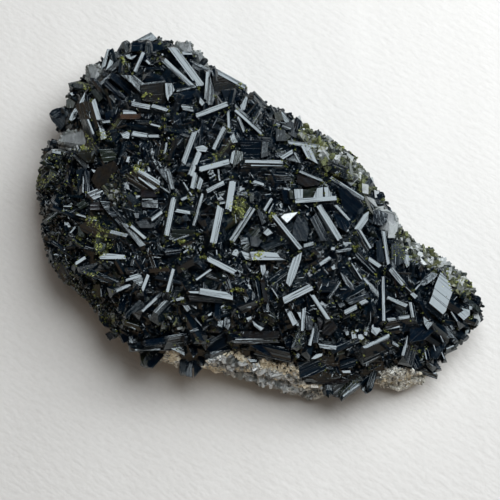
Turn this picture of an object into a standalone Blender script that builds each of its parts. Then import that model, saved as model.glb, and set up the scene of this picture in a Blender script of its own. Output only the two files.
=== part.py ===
"""Epidote specimen: a crust of dark epidote laths on a bed of pale rock, with quartz at its edge.

All sizes are in millimetres until mesh_object turns them into metres. X is to the right, Y is
away from the viewer, and Z is up from the flat underside. The crystals were laid out on a picture
of the specimen seen from the south, SIGHT_ELEVATION degrees up. Their places on it are pairs of
pixels, and on_sight finds the point at a given height that such a pair stands for.
"""
import math
import random

import bmesh
import bpy
from mathutils import Vector, noise
from mathutils.geometry import delaunay_2d_cdt

MM = 0.001
SEED = 4

# The line of sight of the picture that the places are read from
SIGHT_ELEVATION = 72.0
SIGHT_DISTANCE = 400.0
SIGHT_AIM = Vector((-2.0, -15.75, 24.0))
SIGHT_MIDDLE = (250, 250)
MM_PER_PIXEL = 0.27

# Heights of the crust and its bed
RIM_TOP = 14.5
PLATEAU_RISE = 12.5
RIM_SLOPE_WIDTH = 20.0
CRUST_LUMP = 1.6
BED_RIM = 8.0
BED_RISE = 6.0
BED_LUMP = 0.8
TIP_FALL = 0.24
TIP_FROM_X = 0.0
TIP_TO_X = 62.0
GAP = 0.35
CRUST_SPACING = 9.0
CRUST_ROUGH = 1.0
CRUST_EDGE_LUMP = 2.2

# The attitude of the laths' faces that all catch the light at once, and the turn in degrees past
# which a lath no longer shares it
BRIGHT_NORMAL = Vector((0.13, 0.02, 0.99)).normalized()
BRIGHT_TURN = 16

# The crust's rim, clockwise from the north, in pixels
RIM = [
    (150, 38), (170, 43), (188, 47), (204, 58), (216, 75), (239, 89), (260, 102), (279, 112),
    (297, 123), (317, 133), (335, 142), (350, 155), (365, 171), (377, 190), (390, 205), (398, 226),
    (414, 241), (434, 253), (450, 267), (468, 277), (478, 296), (480, 314), (465, 331), (449, 342),
    (438, 356), (420, 365), (400, 371), (380, 373), (360, 375), (340, 379), (318, 379), (296, 375),
    (274, 367), (252, 363), (230, 360), (208, 357), (186, 360), (166, 353), (146, 350), (130, 336),
    (114, 325), (105, 314), (91, 297), (75, 283), (60, 268), (52, 253), (47, 232), (46, 210),
    (41, 186), (44, 166), (47, 150), (62, 134), (60, 118), (69, 104), (73, 90), (87, 77),
    (102, 64), (119, 52), (134, 44),
]

# The rock's widest outline, clockwise from the north, in millimetres
MATRIX_OUTLINE = [
    (-30.1, 44.7), (-21.1, 42.7), (-13.2, 35.7), (-4.2, 29.7), (3.9, 24.7), (11.8, 19.7),
    (20.9, 13.7), (27.9, 5.7), (33.9, -2.3), (39.9, -9.3), (47.9, -14.3), (54.9, -22.3),
    (56.4, -29.3), (51.9, -36.3), (48.4, -43.3), (46.4, -48.3), (38.9, -49.7), (31.9, -46.9),
    (24.9, -48.9), (15.8, -51.7), (7.8, -50.9), (-1.1, -46.9), (-9.2, -45.3), (-15.2, -43.3),
    (-22.1, -41.3), (-27.1, -40.9), (-30.1, -37.3), (-35.1, -32.3), (-39.1, -25.3), (-45.1, -18.3),
    (-49.6, -10.3), (-52.1, -1.3), (-53.1, 8.7), (-51.1, 16.7), (-47.6, 22.7), (-46.1, 30.7),
    (-42.1, 38.2), (-36.1, 42.7),
]

# The rock's rings from the underside up: how far out each lies and its height
MATRIX_RINGS = ((-2.8, 0.0), (-0.6, 1.6), (0.0, 3.6), (-1.2, 5.4), (-0.6, 7.0))
MATRIX_TOP_OUTSET = -2.2
MATRIX_ROUGH = 2.6
RING_WOBBLE = 1.5
MATRIX_SPACING = 8.5

# Laths: both ends in pixels, face width in millimetres, turn away from the bright attitude in
# degrees, and height of the face above the crust in millimetres
NORTH_LATHS = [
    (134, 74, 144, 51, 1.1, 0, 2.5), (172, 47, 202, 87, 2.2, 0, 4.0), (162, 58, 195, 89, 1.4, 8, 3.0),
    (208, 70, 206, 104, 1.1, 2, 3.5), (213, 69, 246, 87, 1.4, 10, 2.0), (130, 103, 168, 111, 1.4, 4, 3.0),
    (195, 116, 229, 103, 1.4, 9, 3.0), (131, 133, 149, 136, 1.4, 2, 2.0), (225, 126, 213, 150, 1.1, 1, 2.5),
    (195, 131, 183, 164, 1.4, 2, 3.0), (93, 99, 101, 127, 1.4, 1, 3.0), (100, 126, 105, 135, 1.2, 9, 2.0),
    (100, 72, 110, 49, 1.5, 24, 2.0), (103, 77, 126, 42, 1.7, 22, 2.0), (131, 47, 171, 47, 2.6, 30, 2.5),
    (137, 41, 162, 41, 1.6, 17, 2.0), (182, 53, 193, 53, 1.0, 3, 2.5), (122, 112, 137, 112, 1.2, 3, 2.4),
    (240, 110, 247, 96, 1.2, 9, 1.8), (194, 92, 201, 99, 1.0, 16, 1.5), (114, 82, 140, 96, 2.4, 26, 2.0),
    (116, 70, 128, 78, 1.2, 18, 1.6), (280, 112, 289, 122, 1.6, 10, 1.2),
]
CENTRE_LATHS = [
    (200, 151, 190, 176, 1.4, 3, 2.6), (196, 172, 192, 190, 1.3, 5, 2.6), (202, 177, 198, 190, 1.2, 4, 2.2),
    (198, 170, 231, 161, 1.5, 2, 3.6), (234, 150, 231, 164, 1.0, 9, 2.2), (205, 192, 225, 182, 1.2, 2, 2.6),
    (233, 180, 228, 212, 1.8, 1, 3.4), (221, 205, 213, 244, 1.9, 1, 4.2), (174, 197, 166, 237, 1.4, 3, 3.2),
    (174, 210, 191, 213, 1.0, 4, 2.2), (151, 220, 163, 211, 0.9, 3, 2.2), (138, 176, 157, 190, 1.0, 4, 2.6),
    (135, 168, 161, 184, 1.2, 6, 3.4), (181, 200, 187, 197, 0.9, 4, 1.6),
    (254, 206, 231, 242, 1.6, 11, 2.8), (243, 161, 285, 162, 1.0, 4, 3.2),
    (280, 159, 293, 151, 1.1, 5, 3.0), (287, 142, 320, 147, 1.2, 4, 2.4), (295, 201, 337, 198, 1.3, 4, 3.8),
    (318, 204, 341, 241, 1.6, 4, 3.4), (272, 213, 301, 249, 1.1, 3, 3.4), (303, 246, 314, 243, 1.0, 5, 3.0),
    (330, 177, 364, 199, 1.1, 10, 2.6), (168, 170, 173, 190, 1.1, 13, 1.6),
    (236, 194, 248, 193, 1.0, 13, 1.6), (209, 178, 216, 174, 0.9, 8, 1.6),
    (331, 248, 335, 249, 0.9, 2, 1.4),
]
WEST_LATHS = [
    (108, 231, 129, 236, 1.0, 3, 2.4), (129, 224, 146, 239, 0.9, 4, 2.2), (99, 256, 126, 257, 1.6, 1, 3.2),
    (75, 264, 86, 257, 0.9, 4, 2.0), (79, 140, 104, 186, 3.0, 40, 1.2), (108, 206, 134, 238, 2.4, 34, 1.0),
    (52, 151, 62, 153, 0.9, 8, 1.5), (122, 189, 138, 204, 2.6, 30, 1.4), (90, 217, 120, 232, 3.0, 36, 0.6),
]
SOUTH_LATHS = [
    (207, 258, 236, 273, 1.5, 2, 3.4), (199, 291, 233, 297, 1.7, 3, 3.2), (149, 273, 142, 291, 0.9, 3, 2.2),
    (174, 267, 167, 293, 0.9, 5, 2.4), (164, 291, 140, 313, 0.9, 10, 2.2),
    (177, 290, 155, 313, 1.4, 14, 1.8), (182, 304, 193, 316, 1.2, 13, 1.6),
    (114, 292, 139, 280, 1.0, 10, 2.2), (145, 343, 193, 333, 2.0, 15, 3.0),
    (128, 347, 176, 341, 1.1, 11, 1.8), (143, 353, 173, 347, 1.0, 12, 1.2),
    (210, 354, 231, 347, 0.9, 10, 1.8), (252, 254, 285, 259, 1.9, 2, 3.4),
    (302, 252, 288, 286, 1.6, 4, 3.6), (260, 263, 265, 275, 1.2, 11, 2.0),
    (313, 269, 331, 257, 1.1, 10, 2.2), (283, 301, 313, 286, 1.9, 1, 3.8),
    (311, 293, 329, 320, 1.0, 5, 2.6), (287, 309, 295, 325, 1.3, 12, 2.0),
    (305, 307, 303, 331, 0.9, 9, 2.0), (318, 344, 337, 349, 1.0, 9, 2.2), (251, 319, 263, 330, 0.9, 5, 2.2),
    (233, 340, 278, 341, 1.5, 15, 2.6), (293, 354, 311, 361, 1.3, 10, 2.4),
    (312, 358, 323, 353, 0.9, 5, 2.0), (245, 358, 257, 360, 1.8, 14, 1.6),
    (262, 344, 292, 351, 1.6, 26, 1.8), (330, 352, 362, 338, 1.6, 24, 2.0),
    (164, 246, 196, 236, 1.4, 26, 1.2), (230, 308, 262, 296, 1.4, 28, 1.4),
    (340, 300, 366, 286, 1.5, 28, 1.4),
]
EAST_LATHS = [
    (383, 230, 389, 267, 1.0, 8, 2.6), (368, 258, 381, 267, 1.1, 3, 2.4), (390, 268, 404, 285, 1.3, 4, 2.8),
    (386, 297, 407, 306, 1.0, 9, 2.2), (410, 301, 413, 318, 0.9, 9, 2.2), (386, 320, 412, 316, 1.0, 8, 2.4),
    (344, 313, 358, 306, 1.3, 3, 2.6), (359, 304, 368, 300, 1.1, 3, 2.0), (363, 348, 390, 335, 1.1, 8, 2.4),
    (439, 300, 470, 318, 1.8, 26, 1.6), (444, 322, 470, 326, 1.6, 24, 1.4),
    (430, 318, 452, 336, 1.6, 28, 1.4), (420, 300, 436, 330, 1.4, 24, 1.6),
    (396, 240, 404, 268, 2.6, 20, 1.4), (420, 333, 440, 346, 1.4, 20, 1.2),
    (355, 252, 376, 274, 1.6, 28, 1.4), (342, 330, 372, 322, 1.4, 26, 1.4),
    (414, 275, 433, 281, 2.2, 17, 1.4),
]

LATHS = NORTH_LATHS + CENTRE_LATHS + WEST_LATHS + SOUTH_LATHS + EAST_LATHS

# Broad faces that are not laths: corners in pixels, clockwise, then turn and height as above
FACES = [
    ([(441, 271), (449, 279), (451, 294), (444, 313), (428, 299), (436, 287)], 1, 3.4),
    ([(141, 83), (167, 80), (166, 102), (143, 104)], 20, 2.4),
    ([(166, 81), (176, 83), (172, 94), (167, 101)], 9, 2.0),
    ([(294, 189), (303, 189), (303, 198), (295, 199)], 5, 3.2),
    ([(317, 188), (323, 187), (323, 198), (313, 198)], 5, 3.2),
    ([(324, 187), (328, 187), (333, 197), (325, 198)], 5, 3.0),
    ([(281, 216), (297, 212), (286, 223)], 0, 2.6),
    ([(301, 146), (308, 145), (317, 164), (307, 157)], 6, 3.0),
    ([(263, 233), (268, 228), (273, 233), (267, 236)], 6, 2.0),
    ([(354, 229), (364, 214), (369, 211), (368, 219), (360, 230)], 3, 3.0),
    ([(76, 108), (86, 92), (86, 109)], 4, 2.6),
    ([(69, 120), (77, 107), (78, 113), (72, 122)], 6, 2.0),
    ([(76, 150), (100, 150), (103, 161), (80, 161)], 19, 2.0),
    ([(100, 150), (110, 149), (117, 158), (103, 162)], 17, 1.6),
    ([(91, 168), (116, 163), (112, 190), (92, 190)], 24, 2.2),
    ([(404, 255), (413, 257), (412, 267), (404, 266)], 6, 2.2),
    ([(415, 251), (424, 250), (424, 260), (416, 261)], 7, 2.0),
    ([(456, 310), (466, 308), (470, 319), (459, 321)], 8, 2.2),
    ([(371, 325), (379, 323), (381, 331), (374, 335)], 6, 2.2),
    ([(294, 216), (308, 218), (305, 240), (293, 236)], 22, 2.0),
    ([(311, 214), (321, 213), (322, 234), (312, 232)], 24, 1.8),
    ([(188, 343), (199, 345), (198, 357), (189, 356)], 7, 2.0),
    ([(212, 76), (222, 74), (240, 92), (226, 102), (212, 98)], 24, 1.4),
    ([(197, 146), (207, 146), (208, 151), (198, 152)], 8, 1.8),
    ([(137, 182), (157, 191), (156, 197), (138, 196)], 20, 1.2),
    ([(262, 142), (268, 142), (268, 153), (261, 157)], 14, 1.8),
    ([(275, 128), (284, 130), (286, 141), (276, 142)], 18, 1.6),
]

# Stout prisms at the rim that the outline shows: foot and tip in pixels, across in millimetres,
# and height of the tip
RIM_PRISMS = [
    (72, 118, 49, 113, 4.6, 15.0), (90, 88, 69, 84, 2.6, 17.0), (92, 84, 82, 74, 1.6, 17.0),
    (150, 50, 151, 33, 4.2, 18.0), (152, 352, 143, 369, 3.0, 13.0), (184, 350, 185, 377, 3.4, 12.5),
    (200, 352, 203, 369, 3.0, 13.0), (300, 358, 303, 384, 3.0, 13.0), (326, 368, 329, 399, 3.4, 11.0),
    (364, 372, 337, 399, 3.2, 11.0), (376, 362, 367, 393, 2.8, 12.0), (342, 356, 350, 380, 3.0, 13.0),
    (405, 358, 415, 376, 2.4, 11.0), (425, 350, 440, 373, 2.6, 10.0), (454, 300, 481, 310, 3.2, 14.0),
    (452, 316, 481, 324, 3.0, 13.0), (438, 332, 459, 344, 2.8, 12.0), (452, 282, 475, 285, 2.8, 15.0),
    (60, 184, 35, 185, 4.4, 15.0), (64, 160, 41, 156, 3.4, 15.0), (62, 146, 48, 142, 2.2, 16.0),
    (62, 236, 41, 238, 4.0, 14.0), (70, 262, 54, 270, 2.8, 14.0), (122, 322, 110, 341, 3.0, 12.0),
    (296, 132, 300, 116, 3.0, 19.0), (316, 144, 319, 129, 2.6, 18.5), (362, 190, 374, 178, 3.0, 17.5),
    (324, 150, 328, 136, 2.6, 18.0), (262, 112, 259, 98, 2.4, 19.0), (216, 82, 214, 68, 2.4, 20.0),
    (200, 66, 207, 58, 2.4, 19.0), (128, 56, 124, 40, 2.0, 18.0), (114, 62, 110, 48, 2.0, 17.0),
]

# Quartz crystals: node name, corners of the top in pixels, height of the top above the crust
QUARTZ = [
    ("quartz_west", [(59, 136), (66, 130), (85, 130), (90, 138), (88, 146), (70, 147), (58, 142)], 1.4),
    ("quartz_northwest", [(87, 66), (92, 63), (99, 65), (101, 78), (93, 85), (87, 79)], 1.2),
    ("quartz_north", [(175, 43), (184, 40), (191, 43), (194, 51), (186, 54), (176, 50)], 0.8),
    ("quartz_northeast", [(196, 50), (202, 51), (204, 58), (208, 66), (202, 69), (196, 61)], 1.0),
    ("quartz_east", [(374, 208), (384, 206), (395, 213), (399, 224), (395, 236), (384, 238), (374, 226)],
     1.0),
]

QUARTZ_LEAN = 3.0
QUARTZ_DEPTH = 6.5

# How a lath's body spreads below its face
LATH_ROOT = 1.4
LATH_DEPTH = 1.3
LATH_SPREAD = 1.35

# The prisms that fill the space between the laths, and those all round the rim
UNDERSTOREY_COUNT = 74
UNDERSTOREY_LENGTH = (6.0, 11.0)
UNDERSTOREY_ACROSS = (1.8, 3.0)
UNDERSTOREY_PITCH = (8.0, 50.0)
RIM_CRYSTAL_STEP = 7.6
RIM_CRYSTAL_ACROSS = (2.2, 3.8)
RIM_CRYSTAL_REACH = (0.8, 2.4)
RIM_CRYSTAL_ROOT = 3.5
PRISM_SIDES = 4
TRIES = 60

# Faces that lie within this angle of each other, in radians, are joined after the union
FLAT_WITHIN = 0.03


def on_sight(px, py, z):
    """The point at height z that lies behind a pixel of the picture."""
    elevation = math.radians(SIGHT_ELEVATION)
    eye = SIGHT_AIM + SIGHT_DISTANCE * Vector((0, -math.cos(elevation), math.sin(elevation)))
    right = (px - SIGHT_MIDDLE[0]) * MM_PER_PIXEL / SIGHT_DISTANCE
    up = (SIGHT_MIDDLE[1] - py) * MM_PER_PIXEL / SIGHT_DISTANCE
    ray = Vector((right, math.cos(elevation) + up * math.sin(elevation),
                  -math.sin(elevation) + up * math.cos(elevation)))
    return eye + ray * ((z - eye.z) / ray.z)


def on_plane(px, py, through, normal):
    """The point of a plane that lies behind a pixel of the picture."""
    low = on_sight(px, py, 0.0)
    ray = on_sight(px, py, 10.0) - low
    return low + ray * ((through - low).dot(normal) / ray.dot(normal))


def smooth_step(x, start, end):
    """0 before start, 1 after end, and a smooth rise between them."""
    t = min(max((x - start) / (end - start), 0.0), 1.0)
    return t * t * (3 - 2 * t)


# The rim as it lies in millimetres, seen from above
RIM_POINTS = [on_sight(px, py, RIM_TOP).to_2d() for px, py in RIM]


def distance_inside(x, y, outline):
    """Distance from a point to a closed outline, positive inside it."""
    point = Vector((x, y))
    nearest = math.inf
    inside = False
    for a, b in zip(outline, outline[1:] + outline[:1]):
        edge = b - a
        t = min(max((point - a).dot(edge) / edge.length_squared, 0.0), 1.0)
        nearest = min(nearest, (point - a - edge * t).length)
        if (a.y > y) != (b.y > y) and x < a.x + (y - a.y) / (b.y - a.y) * (b.x - a.x):
            inside = not inside
    return nearest if inside else -nearest


def dome(x, y):
    """0 at the crust's rim and outside it, 1 on its plateau."""
    t = min(max(distance_inside(x, y, RIM_POINTS) / RIM_SLOPE_WIDTH, 0.0), 1.0)
    return 1 - (1 - t) ** 2


def crust_height(x, y):
    """Height of the crust's ground, on which the crystals stand."""
    fall = 1 - TIP_FALL * smooth_step(x, TIP_FROM_X, TIP_TO_X)
    lump = CRUST_LUMP * noise.noise(Vector((x / 11, y / 11, 3.1)))
    return (RIM_TOP + PLATEAU_RISE * dome(x, y)) * fall + lump


def bed_height(x, y):
    """Height of the rock's top, on which the crust lies."""
    outside = min(distance_inside(x, y, RIM_POINTS), 0.0)
    lump = BED_LUMP * noise.noise(Vector((x / 7, y / 7, 8.4)))
    return BED_RIM + BED_RISE * dome(x, y) + 0.5 * outside + lump


def crust_edge_height(x, y):
    """Height of the crust's lower edge, which is broken unevenly all round."""
    return BED_RIM - 1.2 + CRUST_EDGE_LUMP * noise.noise(Vector((x / 6, y / 6, 5.7)))


def crust_side_height(x, y):
    """Height of the widest part of the crust's side."""
    return crust_edge_height(x, y) + 3.8


def on_crust(px, py, lift):
    """The point behind a pixel that lies a given height above the crust's ground."""
    z = RIM_TOP + lift
    for _ in range(8):
        point = on_sight(px, py, z)
        z = 0.5 * z + 0.5 * (crust_height(point.x, point.y) + lift)
    return on_sight(px, py, z)


def add_hull(bm, points):
    """Adds the convex solid around some points to a mesh."""
    made = [bm.verts.new(p) for p in points]
    hull = bmesh.ops.convex_hull(bm, input=made)
    spare = {g for g in hull["geom_interior"] + hull["geom_unused"] if isinstance(g, bmesh.types.BMVert)}
    bmesh.ops.delete(bm, geom=list(spare), context="VERTS")


def face_normal(axis, turn):
    """Normal of a face along an axis, turned about it from the attitude that mirrors the light."""
    normal = (BRIGHT_NORMAL - axis * BRIGHT_NORMAL.dot(axis)).normalized()
    across = normal.cross(axis).normalized()
    return (normal * math.cos(turn) + across * math.sin(turn)).normalized()


def add_lath(bm, rng, lath):
    """A blade with one long flat face up, whose sides and ends slope down into the crust."""
    x1, y1, x2, y2, width, turn, lift = lath
    start = on_crust(x1, y1, lift)
    end = on_crust(x2, y2, lift)
    if turn < BRIGHT_TURN:
        middle = (start + end) / 2
        start = on_plane(x1, y1, middle, BRIGHT_NORMAL)
        end = on_plane(x2, y2, middle, BRIGHT_NORMAL)
    axis = (end - start).normalized()
    normal = face_normal(axis, math.radians(turn) * rng.choice((-1, 1)))
    across = normal.cross(axis).normalized()
    depth = max(lift + LATH_ROOT, LATH_DEPTH * width)
    half = width / 2
    skew_start, skew_end = (rng.uniform(-0.5, 0.5) * width for _ in range(2))
    slope = rng.uniform(0.3, 0.8) * width
    points = []
    for sink, spread, reach in ((0.0, 1.0, 0.0), (depth, LATH_SPREAD, slope + 0.25 * depth)):
        for side in (-1, 1):
            offset = across * (side * half * spread) - normal * sink
            points.append(start + offset + axis * (side * skew_start - reach))
            points.append(end + offset + axis * (side * skew_end + reach))
    add_hull(bm, points)


def add_face(bm, corners, turn, lift):
    """A crystal whose top face has the given corners."""
    middle_x = sum(x for x, _ in corners) / len(corners)
    middle_y = sum(y for _, y in corners) / len(corners)
    middle = on_crust(middle_x, middle_y, lift)
    normal = face_normal(Vector((1, 0, 0)), math.radians(turn))
    top = [on_plane(px, py, middle, normal) for px, py in corners]
    depth = lift + 2.0
    foot = [p + (p - middle) * 0.25 - normal * depth for p in top]
    add_hull(bm, top + foot)


def add_prism(bm, rng, foot, tip, across):
    """A flattened prism from foot to tip with a sloping end."""
    axis = (tip - foot).normalized()
    side = axis.cross(Vector((0, 0, 1)))
    side = side.normalized() if side.length > 0.1 else Vector((1, 0, 0))
    upward = side.cross(axis).normalized()
    twist = rng.uniform(0, math.tau)
    lean = rng.uniform(-0.7, 0.7)
    points = []
    for k in range(PRISM_SIDES):
        angle = twist + math.tau * k / PRISM_SIDES
        stretch = 1.0 if k % 2 else 1.25
        spoke = (side * math.cos(angle) * 0.5 + upward * math.sin(angle) * 0.38) * across * stretch
        points.append(foot + spoke)
        points.append(tip + spoke * 0.92 - axis * across * (0.35 + lean * math.cos(angle) * 0.5))
    add_hull(bm, points)


def in_front_of_lath(point, across, lines):
    """Whether something at a point would hide one of the placed laths."""
    for a, b, width in lines:
        edge = b - a
        t = min(max((point - a).dot(edge) / edge.length_squared, 0.0), 1.0)
        gap = point - a - edge * t
        if gap.to_2d().length < width / 2 + across and gap.z > -across:
            return True
    return False


def add_understorey(bm, rng):
    """Tilted prisms that fill the space under and between the placed laths."""
    lines = [(on_crust(x1, y1, lift), on_crust(x2, y2, lift), width)
             for x1, y1, x2, y2, width, _, lift in LATHS]
    xs = [p.x for p in RIM_POINTS]
    ys = [p.y for p in RIM_POINTS]
    made = 0
    while made < UNDERSTOREY_COUNT:
        x = rng.uniform(min(xs), max(xs))
        y = rng.uniform(min(ys), max(ys))
        if distance_inside(x, y, RIM_POINTS) < 2.0:
            continue
        length = rng.uniform(*UNDERSTOREY_LENGTH)
        across = rng.uniform(*UNDERSTOREY_ACROSS)
        pitch = math.radians(rng.uniform(*UNDERSTOREY_PITCH))
        heading = rng.uniform(0, math.tau)
        axis = Vector((math.cos(heading) * math.cos(pitch), math.sin(heading) * math.cos(pitch),
                       math.sin(pitch)))
        foot = Vector((x, y, crust_height(x, y) - 1.5))
        tip = foot + axis * length
        if distance_inside(tip.x, tip.y, RIM_POINTS) < 1.0:
            continue
        for _ in range(TRIES):
            shoulder = (foot + 2 * tip) / 3
            if not (in_front_of_lath(tip, across, lines) or in_front_of_lath(shoulder, across, lines)):
                break
            tip = foot + (tip - foot) * 0.94
            tip.z -= 0.12
        if (tip - foot).length > 2.5:
            add_prism(bm, rng, foot, tip, across)
        made += 1


def walk(outline, step):
    """Points at equal steps along a closed outline, each with the outward direction there."""
    carried = 0.0
    for a, b in zip(outline, outline[1:] + outline[:1]):
        edge = b - a
        outward = Vector((-edge.y, edge.x)).normalized()
        while carried < edge.length:
            yield a + edge * (carried / edge.length), outward
            carried += step
        carried -= edge.length


def add_rim_crystals(bm, rng):
    """Prisms that stand out of the crust all round its rim, in two uneven rows."""
    for point, outward in walk(RIM_POINTS, RIM_CRYSTAL_STEP):
        for level in (0.36, 0.92):
            yaw = rng.uniform(-0.7, 0.7)
            pitch = rng.uniform(-0.25, 0.35) if level < 0.5 else rng.uniform(0.0, 0.7)
            flat = Vector((outward.x * math.cos(yaw) - outward.y * math.sin(yaw),
                           outward.x * math.sin(yaw) + outward.y * math.cos(yaw)))
            reach = rng.uniform(*RIM_CRYSTAL_REACH)
            across = rng.uniform(*RIM_CRYSTAL_ACROSS)
            ground = crust_height(point.x, point.y)
            base_z = BED_RIM + (ground - BED_RIM) * level
            axis = Vector((flat.x * math.cos(pitch), flat.y * math.cos(pitch), math.sin(pitch)))
            edge = Vector((point.x, point.y, base_z))
            add_prism(bm, rng, edge - axis * RIM_CRYSTAL_ROOT, edge + axis * reach, across)


def slab_mesh(outline, levels, spacing, rough, rng):
    """A closed solid from rings of an outline, with an uneven top and a plain bottom.

    levels holds, from the bottom up, each ring's outward offset and its height: a number, or a
    function of x and y. The last one is such a function, and gives the height of the whole top.
    """
    bm = bmesh.new()
    count = len(outline)
    rings = []
    for offset, height in levels:
        ring = []
        for i, point in enumerate(outline):
            edge = outline[(i + 1) % count] - outline[i - 1]
            outward = Vector((-edge.y, edge.x)).normalized()
            push = offset + rough * noise.noise(Vector((point.x / 5, point.y / 5, 2.3 * len(rings))))
            spot = point + outward * push
            z = height
            if callable(height):
                z = height(spot.x, spot.y)
            elif rings:
                z += RING_WOBBLE * noise.noise(Vector((spot.x / 7, spot.y / 7, 3.7 * len(rings))))
            ring.append(bm.verts.new((spot.x, spot.y, z)))
        rings.append(ring)
    for low, high in zip(rings, rings[1:]):
        for i in range(count):
            j = (i + 1) % count
            bm.faces.new((low[j], low[i], high[i], high[j]))
    for ring in (rings[-1], rings[0]):
        border = [v.co.to_2d() for v in ring]
        inner = []
        if ring is rings[-1]:
            top = levels[-1][1]
            for spot in grid(border, spacing, rng):
                inner.append(bm.verts.new((spot.x, spot.y, top(spot.x, spot.y))))
        flat = border + [v.co.to_2d() for v in inner]
        _, _, faces, origin, _, _ = delaunay_2d_cdt(flat, [], [list(range(count))], 1, 1e-5)
        source = ring + inner
        for face in faces:
            bm.faces.new([source[origin[v][0]] for v in face])
    bmesh.ops.recalc_face_normals(bm, faces=bm.faces)
    if bm.calc_volume(signed=True) < 0:
        bmesh.ops.reverse_faces(bm, faces=bm.faces)
    bmesh.ops.triangulate(bm, faces=bm.faces)
    return bm


def grid(border, spacing, rng):
    """Uneven points at about a given spacing inside a border."""
    xs = [p.x for p in border]
    ys = [p.y for p in border]
    row = 0
    y = min(ys)
    while y < max(ys):
        x = min(xs) + (spacing / 2 if row % 2 else 0)
        while x < max(xs):
            spot = Vector((x + rng.uniform(-0.25, 0.25) * spacing, y + rng.uniform(-0.25, 0.25) * spacing))
            if distance_inside(spot.x, spot.y, border) > 0.4 * spacing:
                yield spot
            x += spacing
        y += spacing * 0.87
        row += 1


def material(name, colour, roughness):
    """A plain material."""
    made = bpy.data.materials.new(name)
    made.use_nodes = True
    shader = made.node_tree.nodes["Principled BSDF"]
    shader.inputs["Base Color"].default_value = (*colour, 1.0)
    shader.inputs["Roughness"].default_value = roughness
    shader.inputs["Metallic"].default_value = 0.0
    return made


def mesh_object(name, bm, finish):
    """Makes an object, in metres, from a mesh in millimetres."""
    bmesh.ops.scale(bm, vec=(MM, MM, MM), verts=bm.verts)
    mesh = bpy.data.meshes.new(name)
    bm.to_mesh(mesh)
    bm.free()
    mesh.materials.append(finish)
    made = bpy.data.objects.new(name, mesh)
    bpy.context.scene.collection.objects.link(made)
    return made


def as_cutter(made):
    """Marks an object as one that only shapes others."""
    made.hide_render = True
    made.display_type = "WIRE"
    return made


def apply_boolean(target, operation, cutter, use_self=False):
    """Applies a Boolean to an object's mesh."""
    modifier = target.modifiers.new("boolean", "BOOLEAN")
    modifier.operation = operation
    modifier.solver = "EXACT"
    modifier.use_self = use_self
    modifier.object = cutter
    graph = bpy.context.evaluated_depsgraph_get()
    result = bpy.data.meshes.new_from_object(target.evaluated_get(graph))
    target.modifiers.remove(modifier)
    target.data = result


def keep_largest_body(target):
    """Deletes loose slivers and closed hollows that a union leaves, and joins its flat faces."""
    bm = bmesh.new()
    bm.from_mesh(target.data)
    bmesh.ops.dissolve_limit(bm, angle_limit=FLAT_WITHIN, verts=bm.verts, edges=bm.edges)
    bmesh.ops.triangulate(bm, faces=bm.faces)
    seen = set()
    islands = []
    for start in bm.verts:
        if start in seen:
            continue
        island = [start]
        seen.add(start)
        for vert in island:
            for edge in vert.link_edges:
                other = edge.other_vert(vert)
                if other not in seen:
                    seen.add(other)
                    island.append(other)
        islands.append(island)
    islands.sort(key=len)
    for island in islands[:-1]:
        bmesh.ops.delete(bm, geom=island, context="VERTS")
    bm.to_mesh(target.data)
    bm.free()


def grown(target, by):
    """A cutter with the shape of an object, larger by a gap all round."""
    bm = bmesh.new()
    bm.from_mesh(target.data)
    bm.normal_update()
    for vert in bm.verts:
        vert.co += vert.normal * by * MM
    mesh = bpy.data.meshes.new(target.name + "_cutter")
    bm.to_mesh(mesh)
    bm.free()
    made = bpy.data.objects.new(mesh.name, mesh)
    bpy.context.scene.collection.objects.link(made)
    return as_cutter(made)


def build_matrix(finish):
    """The rock: broken, lumpy sides between a flat underside and the bed of the crust."""
    rng = random.Random(SEED)
    outline = [Vector(p) for p in MATRIX_OUTLINE]
    levels = MATRIX_RINGS + ((MATRIX_TOP_OUTSET, bed_height),)
    bm = slab_mesh(outline, levels, MATRIX_SPACING, MATRIX_ROUGH, rng)
    return mesh_object("matrix", bm, finish)


def build_quartz(finish):
    """The pale crystals, set in the crust at its rim and leaning out of it."""
    made = []
    for name, corners, lift in QUARTZ:
        bm = bmesh.new()
        middle = on_crust(sum(x for x, _ in corners) / len(corners),
                          sum(y for _, y in corners) / len(corners), lift)
        root = Vector((-middle.x, -middle.y, 0)).normalized() * QUARTZ_LEAN
        points = []
        for k, (px, py) in enumerate(corners):
            point = on_sight(px, py, middle.z)
            inward = middle - point
            points.append(point + inward * 0.15 + Vector((0, 0, -0.6 * (k % 2))))
            points.append(point + Vector((0, 0, -1.5)))
            points.append(point + inward * 0.35 + root + Vector((0, 0, -QUARTZ_DEPTH)))
        add_hull(bm, points)
        made.append(mesh_object(name, bm, finish))
    return made


def build_epidote(finish):
    """The crust and every crystal in it, joined in one solid."""
    levels = ((-1.5, crust_edge_height), (0.9, crust_side_height), (0.0, crust_height))
    ground = slab_mesh(RIM_POINTS, levels, CRUST_SPACING, CRUST_ROUGH, random.Random(SEED))
    crust = mesh_object("epidote", ground, finish)
    crystals = bmesh.new()
    rng = random.Random(SEED)
    for lath in LATHS:
        add_lath(crystals, rng, lath)
    for corners, turn, lift in FACES:
        add_face(crystals, corners, turn, lift)
    for x1, y1, x2, y2, across, tip_z in RIM_PRISMS:
        add_prism(crystals, rng, on_sight(x1, y1, tip_z - 0.5), on_sight(x2, y2, tip_z), across)
    add_understorey(crystals, random.Random(SEED))
    add_rim_crystals(crystals, random.Random(SEED))
    bmesh.ops.recalc_face_normals(crystals, faces=crystals.faces)
    cutter = as_cutter(mesh_object("crystal_guides", crystals, finish))
    apply_boolean(crust, "UNION", cutter, use_self=True)
    return crust, cutter


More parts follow.
